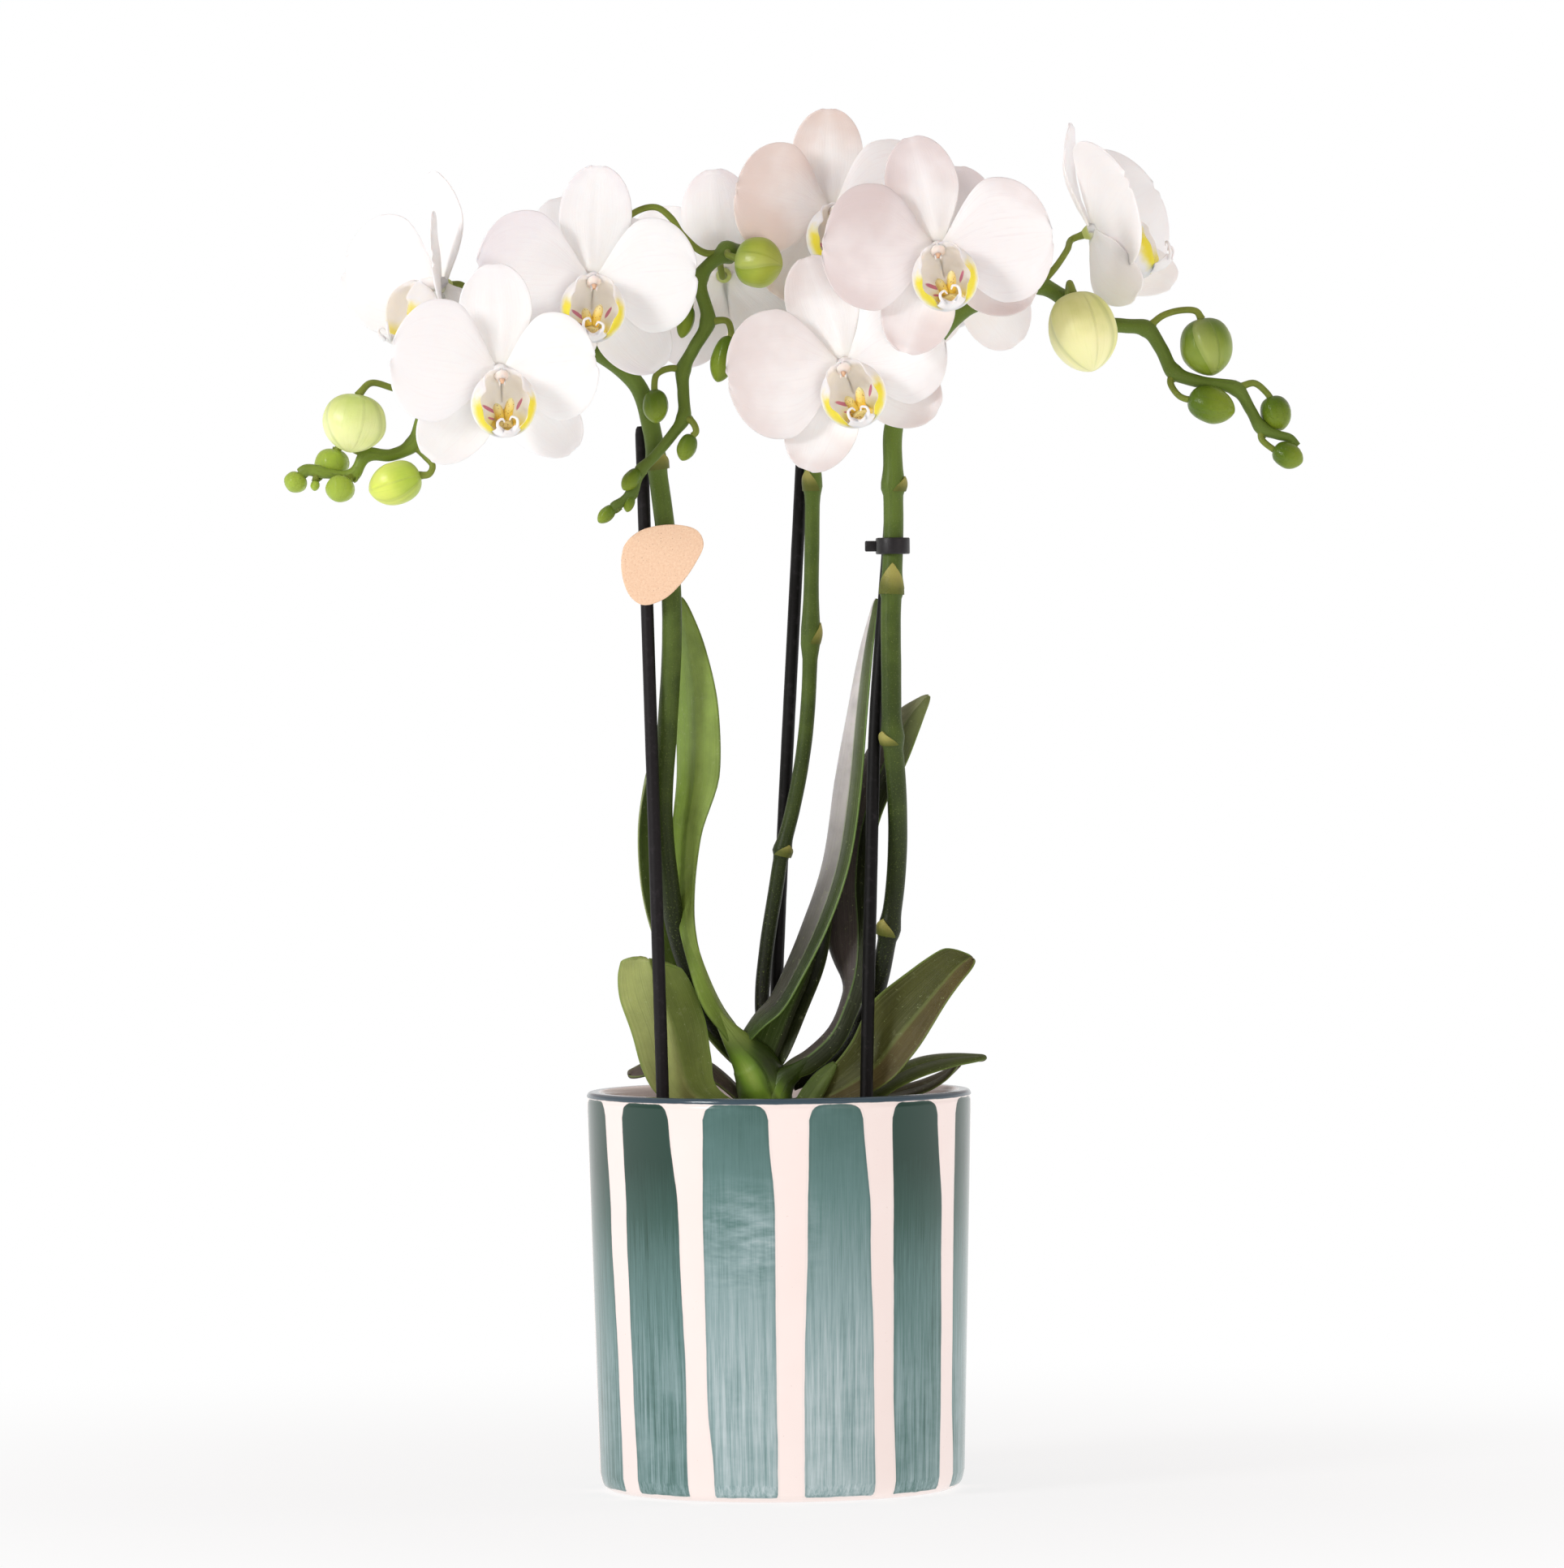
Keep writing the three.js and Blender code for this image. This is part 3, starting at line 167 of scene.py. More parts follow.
def tint(red, green, blue):
    """A screen colour from 0 to 255 as the linear colour that a shader takes."""
    return tuple(((c / 255 + 0.055) / 1.055) ** 2.4 if c > 10 else c / 255 / 12.92
                 for c in (red, green, blue)) + (1.0,)


class Form:
    """A mesh in the making, in millimetres. Each point carries three numbers for its finish."""

    def __init__(self):
        self.points = []
        self.places = []
        self.faces = []
        self.kinds = []

    def add(self, points, places, faces, kind=0):
        start = len(self.points)
        self.points.extend(points)
        self.places.extend(places)
        self.faces.extend([tuple(start + k for k in face) for face in faces])
        self.kinds.extend(kind if isinstance(kind, list) else [kind] * len(faces))

    def made(self, name, slot, finishes):
        """Sets the mesh down as a piece that stands for the like named solid."""
        mesh = bpy.data.meshes.new(name)
        mesh.from_pydata([Vector(p) / MILLIMETRES for p in self.points], [], self.faces)
        for finish in finishes:
            mesh.materials.append(finish.material)
        mesh.polygons.foreach_set("material_index", self.kinds)
        mesh.polygons.foreach_set("use_smooth", [True] * len(self.faces))
        place = mesh.attributes.new("place", "FLOAT_VECTOR", "POINT")
        place.data.foreach_set("vector", [c for row in self.places for c in row])
        sides = bmesh.new()
        sides.from_mesh(mesh)
        bmesh.ops.recalc_face_normals(sides, faces=sides.faces)
        sides.to_mesh(mesh)
        sides.free()
        mesh.set_sharp_from_angle(angle=SHARP_CORNER)
        mesh.update()
        piece = bpy.data.objects.new(name + "_finished", mesh)
        bpy.context.scene.collection.objects.link(piece)
        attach(piece, "root")
        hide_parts(name)
        return piece


def turned(form, profile, sides, placed, kind=0):
    """A closed profile of radius and height, turned round the upright axis."""
    points, places, faces = [], [], []
    for r, z in profile:
        for k in range(sides):
            turn = 2 * math.pi * (k + 0.5) / sides
            points.append((r * math.sin(turn), -r * math.cos(turn), z))
            places.append(placed(turn, r, z))
    for i in range(len(profile) - 1):
        for k in range(sides):
            a, b = i * sides + k, i * sides + (k + 1) % sides
            faces.append((a, b, b + sides, a + sides))
    faces.append(tuple(range(sides))[::-1])
    faces.append(tuple((len(profile) - 1) * sides + k for k in range(sides)))
    form.add(points, places, faces, kind)


def rounded(corners, steps):
    """A profile with each corner (r, z, rounding) turned into a short arc."""
    line = []
    for k, (r, z, rounding) in enumerate(corners):
        here = Vector((r, z))
        if not rounding:
            line.append((r, z))
            continue
        before = (Vector(corners[k - 1][:2]) - here).normalized() * rounding
        after = (Vector(corners[k + 1][:2]) - here).normalized() * rounding
        for m in range(steps + 1):
            t = m / steps
            bend = here + before * (1 - t) ** 2 + after * t ** 2
            line.append(tuple(bend))
    return line


POT_HEIGHT = 112.2
# Radii of the outside of the wall, at its foot and under its rim
POT_FOOT = 51.4
POT_RIM = 54.0
POT_WALL = 4.5
POT_FLOOR = 7.0
FOOT_BEND = 5.2
WALL_STEPS = 40
POT_SIDES = 288
# A profile starts and ends this close to the axis, where its ring is closed with a face
AXIS = 0.001
# Where each stripe starts and ends round the pot, in degrees from the front: near the rim, at two
# thirds, at a third and at the foot
STRIPE_HEIGHTS = (108, 78, 31, 4)
STRIPES = (
    ((-84.5, -64.0), (-84.0, -62.2), (-83.0, -60.2), (-82.0, -59.5)),
    ((-54.0, -34.8), (-53.3, -31.8), (-52.4, -30.5), (-51.3, -30.5)),
    ((-23.1, -3.2), (-23.6, -1.4), (-23.2, -1.4), (-21.4, -1.3)),
    ((9.0, 25.6), (8.3, 28.2), (7.0, 29.6), (7.1, 30.2)),
    ((35.7, 54.8), (36.3, 57.8), (36.7, 58.6), (37.8, 58.7)),
    ((66.0, 85.5), (65.8, 87.0), (66.4, 88.0), (68.3, 88.5)),
    ((96.5, 115.5), (96.0, 117.6), (95.2, 118.6), (96.0, 119.0)),
    ((126.5, 146.0), (126.0, 148.2), (125.4, 149.0), (125.0, 149.6)),
    ((157.0, 176.4), (156.0, 178.4), (155.6, 179.0), (156.2, 179.2)),
    ((186.6, 206.0), (186.0, 208.0), (185.4, 208.6), (185.0, 209.0)),
    ((216.8, 236.4), (216.0, 238.2), (215.6, 239.2), (216.4, 239.6)),
    ((246.4, 265.4), (246.0, 267.2), (245.6, 268.2), (246.2, 268.6)),
)
STRIPE_TOP = 110.4
STRIPE_FOOT = 1.5
STRIPE_SHOULDER = 4.0
UNPAINTED = -20.0


def along_stripe(edge, height):
    for k in range(len(STRIPE_HEIGHTS) - 1):
        upper, lower = STRIPE_HEIGHTS[k], STRIPE_HEIGHTS[k + 1]
        if height >= lower or k == len(STRIPE_HEIGHTS) - 2:
            t = min(1.0, max(0.0, (upper - height) / (upper - lower)))
            t = t * t * (3 - 2 * t)
            return edge[k] + (edge[k + 1] - edge[k]) * t


def inside_stripe(turn, radius, height):
    """How far a spot on the wall lies inside the nearest stripe, in millimetres, below 0 outside."""
    best = UNPAINTED
    for sides in STRIPES:
        start = along_stripe([side[0] for side in sides], height)
        end = along_stripe([side[1] for side in sides], height)
        middle = (start + end) / 2
        off = (math.degrees(turn) - middle + 180) % 360 - 180
        across = math.radians((end - start) / 2 - abs(off)) * radius
        up = STRIPE_TOP - height
        if across < STRIPE_SHOULDER and up < STRIPE_SHOULDER:
            corner = math.hypot(STRIPE_SHOULDER - across, STRIPE_SHOULDER - up)
            inside = STRIPE_SHOULDER - corner
        else:
            inside = min(across, up)
        best = max(best, min(inside, height - STRIPE_FOOT))
    return best


def wall_place(turn, radius, height):
    outside = radius > POT_RIM - POT_WALL + 0.4 or height < 1
    return turn, height, inside_stripe(turn, radius, height) if outside else UNPAINTED


inner_rim, inner_foot = POT_RIM - POT_WALL, POT_FOOT - POT_WALL
outer_wall = []
for k in range(1, WALL_STEPS + 1):
    out = POT_FOOT + (POT_RIM - POT_FOOT) * k / WALL_STEPS
    outer_wall.append((out, FOOT_BEND + (POT_HEIGHT - 8.6) * k / WALL_STEPS, 0))
pot_profile = rounded([
    (AXIS, 0, 0), (8, 0, 0), (20, 0, 0), (34, 0, 0), (POT_FOOT - FOOT_BEND, 0, 0),
    (POT_FOOT - 1.1, 0.2, 3.2), (POT_FOOT, FOOT_BEND, 0), *outer_wall,
    (POT_RIM + 0.02, POT_HEIGHT - 2.9, 0.3), (POT_RIM - 0.24, POT_HEIGHT - 1.8, 0.5),
    (POT_RIM + 0.04, POT_HEIGHT - 1.35, 0.2), (POT_RIM + 0.05, POT_HEIGHT - 0.05, 1.5),
    (inner_rim, POT_HEIGHT - 0.1, 1.6), (inner_rim - 0.1, POT_HEIGHT - 6, 0), (inner_rim - 0.5, 90, 0),
    (inner_rim - 1, 60, 0), (inner_foot, 30, 0), (inner_foot, POT_FLOOR + 4, 0),
    (inner_foot - 3, POT_FLOOR, 0), (20, POT_FLOOR, 0), (AXIS, POT_FLOOR, 0)], 7)
pot = Form()
turned(pot, pot_profile, POT_SIDES, wall_place)

glaze = Finish("striped ceramic glaze")
turn, height, inside = glaze.place()
spot = glaze.spot()
spot_x, spot_y, _ = glaze.parts(spot)


def brushed(across, down, detail, roughness=0.5):
    """Noise on the wall, with a scale across it and another down it."""
    where = glaze.vector(spot_x * across, spot_y * across, height * down)
    return glaze.noise(where, 1.0, detail, roughness)


# The edges of the stripes and of the band round the rim wander a little, as a brush does
wander = brushed(0.2, 0.07, 3.0) - 0.5
stripe = (inside + wander * 0.7).between(-0.16, 0.12)
from_axis = (spot_x * spot_x + spot_y * spot_y) ** 0.5
rim_band = (height + wander * 0.5).between(POT_HEIGHT - 1.75, POT_HEIGHT - 1.45)
rim_band = rim_band * from_axis.between(50.6, 51.0)
painted = glaze.node("Math", {"operation": "MAXIMUM"}, {0: stripe, 1: rim_band})
# The paint thins towards the foot and in streaks down each stripe, and one of the two stripes in the
# middle of the front is cloudy. Those two are painted lighter and the ones beside them darker near the
# top, as painted light and shade on the round of the pot.
streaks = brushed(0.8, 0.004, 3.0, 0.65)
fine_streaks = brushed(2.8, 0.005, 4.0, 0.7)
pools = brushed(0.06, 0.09, 4.0, 0.6)
dabs = brushed(0.09, 0.32, 3.0, 0.6)
brushes = glaze.noise(glaze.vector(turn * 1.1, 0.0, 3.0), 1.0, 1.0) - 0.5
low = 1 - (height + (pools - 0.5) * 60 + (streaks - 0.5) * 60).between(26, 122)
front = 1 - spot_y.between(-10, 10)
painted_light_front = spot_x.between(-26, -22) * (1 - spot_x.between(27, 31)) * front
cloudy = spot_x.near(-8.0, 24) * height.near(74, 22) * front
paint_thinness_and_light = (streaks - 0.5) * (0.25 + low * 0.75) + (fine_streaks - 0.5) * (0.1 + low * 0.5)
paint_thinness_and_light = paint_thinness_and_light + low * 0.5 + (pools - 0.5) * 0.45 + brushes * 0.15
# Painted light: the middle of the front lighter, the stripes beside it darker near the top
paint_thinness_and_light = paint_thinness_and_light + painted_light_front * 0.26 - (1 - painted_light_front) * height.between(60, 105) * 0.16
paint_thinness_and_light = paint_thinness_and_light + cloudy * (dabs - 0.42) * 1.2 + 0.03
paint = glaze.ramp(
    paint_thinness_and_light, (0.0, tint(36, 66, 56)), (0.2, tint(56, 90, 82)), (0.45, tint(98, 132, 130)),
    (0.7, tint(142, 168, 170)), (1.0, tint(188, 205, 208)))
dark_edge = inside.near(0.3, 0.6) * 0.22
paint = glaze.mix(dark_edge, paint, tint(56, 84, 80))
paint = glaze.mix(rim_band * 0.95, paint, tint(62, 80, 92))
body = glaze.mix(glaze.noise(spot, 0.06, 3.0), tint(249, 233, 228), tint(253, 241, 237))
halo = inside.near(-0.45, 0.4) * 0.15
body = glaze.mix(halo, body, tint(206, 206, 206))
specks = glaze.noise(spot, 1.3, 1.0).between(0.76, 0.8)
body = glaze.mix(specks * 0.35, body, tint(214, 190, 176))
relief = painted * 0.04 + paint_thinness_and_light * painted * 0.02 + glaze.noise(spot, 0.12, 2.0) * 0.05
glaze.surface(
    glaze.mix(painted, body, paint), 0.13 + fine_streaks * 0.06, relief,
    Specular_IOR_Level=0.35, Coat_Weight=0.15, Coat_Roughness=0.05)
pot.made("pot", "glazed_ceramic", [glaze])

# Nursery pot
# A thin blown plastic cup with a turned out lip, which stands on the ceramic floor and shows only
# as a dark edge round the bark.
GROW_TOP_RADIUS = 44.4
GROW_BASE_RADIUS = 33.0
GROW_TOP = 99.0
GROW_WALL = 1.2
GROW_UNDERSIDE = 7.35
GROW_FLOOR = 8.6
GROW_STEPS = 12
side_wall = []
for k in range(1, GROW_STEPS):
    out = GROW_BASE_RADIUS + (GROW_TOP_RADIUS - GROW_BASE_RADIUS) * k / GROW_STEPS
    side_wall.append((out, 9.4 + 86.2 * k / GROW_STEPS, 0))
grow_pot = Form()
turned(grow_pot, rounded([
    (AXIS, GROW_UNDERSIDE, 0), (20, GROW_UNDERSIDE, 0), (GROW_BASE_RADIUS - 1, 7.4, 0.8),
    (GROW_BASE_RADIUS + 0.2, 9.4, 0), *side_wall, (GROW_TOP_RADIUS - 0.2, GROW_TOP - 3, 0.3),
    (GROW_TOP_RADIUS + GROW_WALL, GROW_TOP - 3, 0.4), (GROW_TOP_RADIUS + GROW_WALL, GROW_TOP, 0.4),
    (GROW_TOP_RADIUS - GROW_WALL, GROW_TOP, 0.4), (GROW_BASE_RADIUS - GROW_WALL, 11, 0),
    (GROW_BASE_RADIUS - 4, GROW_FLOOR, 0), (AXIS, GROW_FLOOR, 0)], 3),
    96, lambda turn, r, z: (turn, z, 0.0))
nursery = Finish("nursery plastic")
spot = nursery.spot()
scuffs = nursery.noise(spot, 0.35, 4.0, 0.7)
nursery.surface(
    nursery.mix(scuffs, tint(44, 36, 34), tint(84, 70, 64)), 0.35 + scuffs * 0.3,
    nursery.noise(spot, 3.0, 2.0) * 0.03)
grow_pot.made("grow_pot", "nursery_plastic", [nursery])

# Bark
# Fir bark chips, split flat along the grain, packed into the nursery pot and heaped a little round
# the crown. Under the loose chips the plug is one solid mass.
CHIP_COUNT = 130
CHIP_CORNERS = 22
CHIP_SIZES = ((3.6, 6.4), (2.0, 3.6), (1.0, 1.8))
CHIPS_REACH = 41
GOLDEN_TURN = 2.39996
PLUG_PROFILE = [(AXIS, 8.9), (28, 8.9), (32, 12.9), (42.2, 96), (41.5, 98), (38, 100), (24, 101.5),
                (AXIS, 102.5)]


def chip(form, where, size, turn, seed):
    """One split piece of bark: a hull round a few scattered points, roughened along the grain."""
    draw = random.Random(seed)
    hull = bmesh.new()
    for _ in range(CHIP_CORNERS):
        p = Vector((draw.uniform(-1, 1), draw.uniform(-1, 1), draw.uniform(-1, 1)))
        p = p.normalized() * draw.uniform(0.86, 1.05) if draw.random() < 0.8 else p
        hull.verts.new(Vector((p.x * size[0], p.y * size[1], p.z * size[2])))
    bmesh.ops.convex_hull(hull, input=hull.verts)
    bmesh.ops.delete(hull, geom=[v for v in hull.verts if not v.link_faces], context="VERTS")
    bmesh.ops.triangulate(hull, faces=hull.faces)
    bmesh.ops.subdivide_edges(hull, edges=hull.edges, cuts=1, use_grid_fill=True)
    for v in hull.verts:
        rough = noise.noise(Vector((v.co.x * 0.25, v.co.y * 0.9, v.co.z * 0.9)) + Vector((seed, 0, 0)))
        v.co += v.co.normalized() * rough * 0.5
    hull.verts.index_update()
    points = [turn @ v.co + where for v in hull.verts]
    age = draw.random()
    form.add(points, [(v.co.x, v.co.y, age) for v in hull.verts],
             [[v.index for v in face.verts] for face in hull.faces])
    hull.free()


bark = Form()
turned(bark, PLUG_PROFILE, 64, lambda turn, r, z: (r * math.sin(turn), z, 0.1))
draw = random.Random(5)
for k in range(CHIP_COUNT):
    reach = CHIPS_REACH * math.sqrt((k + 0.5) / CHIP_COUNT)
    angle = k * GOLDEN_TURN
    lie = Matrix.Rotation(draw.uniform(0, 6.28), 3, "Z")
    lie = lie @ Matrix.Rotation(draw.uniform(-0.45, 0.45), 3, "X")
    lie = lie @ Matrix.Rotation(draw.uniform(-0.4, 0.4), 3, "Y")
    size = [draw.uniform(*span) for span in CHIP_SIZES]
    reach = min(reach, CHIPS_REACH + 0.5 - size[0] * 0.8)
    rise = 103.4 - 0.075 * reach + draw.uniform(-1.2, 0.6)
    chip(bark, Vector((reach * math.cos(angle), reach * math.sin(angle), rise)), size, lie, k)
chips = Finish("fir bark")
grain_x, grain_y, age = chips.place()
spot = chips.spot()
fibres = chips.noise(chips.vector(grain_x * 0.35, grain_y * 3.0, age * 40), 1.0, 5.0, 0.7)
blotch = chips.noise(spot, 0.22, 3.0)
wood = chips.ramp(
    fibres * 0.6 + age * 0.35 + blotch * 0.25 - 0.08, (0.15, tint(48, 30, 22)), (0.45, tint(98, 62, 42)),
    (0.7, tint(142, 96, 66)), (1.0, tint(176, 136, 104)))
chips.surface(wood, 0.8 + fibres * 0.15, fibres * 0.5 + blotch * 0.3)
bark.made("bark", "bark", [chips])


# Crown
# The short stout stem that the leaves clasp and the spikes leave, with thick roots that run down
# into the bark. Old leaf bases wrap round it.
class Line:
    """A smooth line through points: at() and heading() take a share from 0 to 1 of its length."""

    def __init__(self, points):
        self.points = [Vector(p) for p in points]

    def at(self, t):
        points = self.points
        last = len(points) - 1
        place = min(max(t, 0.0), 1.0) * last
        k = min(int(place), last - 1)
        w = place - k
        b, c = points[k], points[k + 1]
        a = points[k - 1] if k > 0 else b * 2 - c
        d = points[k + 2] if k + 2 <= last else c * 2 - b
        here = (c - b).length ** 0.5 or 1.0
        before = (b - a).length ** 0.5 or here
        after = (d - c).length ** 0.5 or here
        start = ((b - a) / before - (c - a) / (before + here) + (c - b) / here) * here
        end = ((c - b) / here - (d - b) / (here + after) + (d - c) / after) * here
        curve = (b * 2 - c * 2 + start + end) * w ** 3 + (c * 3 - b * 3 - start * 2 - end) * w ** 2
        return curve + start * w + b

    def heading(self, t):
        low, high = max(0.0, t - 1e-4), min(1.0, t + 1e-4)
        return (self.at(high) - self.at(low)).normalized()


def along(values, t):
    place = min(max(t, 0.0), 1.0) * (len(values) - 1)
    k = min(int(place), len(values) - 2)
    return values[k] + (values[k + 1] - values[k]) * (place - k)


def rod(form, line, rings, sides, mark=0.0, shape=None, kind=0):
    """A round stem: each ring is a share of the line and a radius, and shape may press it in or out."""
    side = Vector((0.31, -0.93, 0.17))
    points, places, faces = [], [], []
    rings = [(rings[0][0], rings[0][1] * 0.02), *rings, (rings[-1][0], rings[-1][1] * 0.02)]
    for t, radius in rings:
        centre, ahead = line.at(t), line.heading(t)
        side = (side - ahead * side.dot(ahead)).normalized()
        across = ahead.cross(side)
        for m in range(sides):
            turn = 2 * math.pi * m / sides
            r = radius * (shape(t, turn) if shape else 1.0)
            points.append(centre + side * (r * math.cos(turn)) + across * (r * math.sin(turn)))
            places.append((t, turn, mark))
    for k in range(len(rings) - 1):
        for m in range(sides):
            a, b = k * sides + m, k * sides + (m + 1) % sides
            faces.append((a, b, b + sides, a + sides))
    faces.append(tuple(range(sides))[::-1])
    faces.append(tuple((len(rings) - 1) * sides + m for m in range(sides)))
    form.add(points, places, faces, kind)


def even_rings(radii, steps):
    return [(k / steps, along(radii, k / steps)) for k in range(steps + 1)]


CROWN_LINE = [[-3, 1, 84], [-3, 0, 98], [-3.4, -0.8, 107], [-4.6, -1.8, 114], [-7, -3, 120],
              [-11, -4.6, 125], [-14.2, -5.8, 129.4], [-17.4, -6.6, 134.4], [-20, -7, 139.5]]
CROWN_RADII = [5, 7.6, 7.9, 7.8, 6.6, 4.1, 2.6, 1.3, 0.3]
SHEATH_LINE = [[-1.6, -3, 98], [-1.4, -3.8, 106], [-0.6, -4.6, 111.3], [1.6, -5.4, 115.2],
               [5, -6.2, 117.8], [9, -6.9, 121.1], [12.6, -7.3, 124.8]]
SHEATH_RADII = [4.4, 5.0, 4.8, 3.7, 2.4, 1.3, 0.3]
ROOT_RADII = [2.8, 2.4, 2.0]
ROOTS = [
    [[-3, 0, 92], [12, -14, 78], [25, -20, 40]],
    [[-3, 0, 90], [-18, -10, 74], [-23, -15, 32]],
    [[-2, 0, 88], [4, 17, 70], [10, 28, 34]],
]


def swollen(t, turn):
    """The gentle bulges of the wrapped leaf bases."""
    bumps = noise.noise(Vector((math.cos(turn), math.sin(turn), t * 4)))
    bulge = 0.04 * math.sin(2 * turn + 6 * t) + 0.05 * bumps
    flat = 0.42 * max(0.0, (t - 0.45) / 0.55) * math.cos(turn) ** 2
    return 1 + bulge * math.sin(math.pi * t) - flat


def knobbly(t, turn):
    return 1 + 0.1 * noise.noise(Vector((math.cos(turn), math.sin(turn), t * 9)))


crown = Form()
rod(crown, Line(CROWN_LINE), even_rings(CROWN_RADII, 72), 56, 0.0, swollen)
rod(crown, Line(SHEATH_LINE), even_rings(SHEATH_RADII, 54), 48, 0.0, swollen)
for root in ROOTS:
    rod(crown, Line(root), even_rings(ROOT_RADII, 30), 14, 1.0, knobbly)
crown_skin = Finish("crown skin")
t, turn, root_mark = crown_skin.place()
spot = crown_skin.spot()
blotch = crown_skin.noise(spot, 0.14, 3.0)
ribs = crown_skin.noise(crown_skin.vector(turn * 5, t * 3, 0.0), 1.0, 3.0)
across, away_back, away_up = crown_skin.parts(spot)
# Painted light: the two bulges that face the front are lit a brighter green, and painted shade darkens
# the crease between them
front_bulge = (across + (away_up - 117) * 0.45).near(-8.2, 6.5) * away_up.near(116.5, 13)
low_bulge = across.near(-0.2, 4.6) * away_up.near(110.5, 8)
sunlit = (front_bulge + low_bulge * 0.75) * (1 - away_back.between(-4, 4))
painted_crease_shade = (across + away_up * 0.62 - 67.4 + (blotch - 0.5) * 2).near(0.0, 1.6)
painted_crease_shade = painted_crease_shade * (1 - away_up.between(112, 118))
fresh = crown_skin.ramp(
    blotch * 0.25 + sunlit * 0.78 + ribs * 0.08, (0.05, tint(30, 40, 10)), (0.35, tint(62, 86, 22)),
    (0.7, tint(108, 142, 42)), (1.0, tint(146, 172, 74)))
fresh = crown_skin.mix(painted_crease_shade * 0.5, fresh, tint(40, 58, 14))
leaf_foot = away_up.between(121, 130) * (1 - across.between(-9, -6))
fresh = crown_skin.mix(leaf_foot, fresh, tint(122, 142, 66))
crown_skin.surface(
    crown_skin.mix(root_mark, fresh, tint(172, 176, 150)), 0.34 + blotch * 0.15,
    ribs * 0.18 + crown_skin.noise(spot, 2.2, 2.0) * 0.04, (0.12, (0.6, 1.0, 0.2), 0.002),
    Specular_IOR_Level=0.4)
crown.made("crown", "crown", [crown_skin])


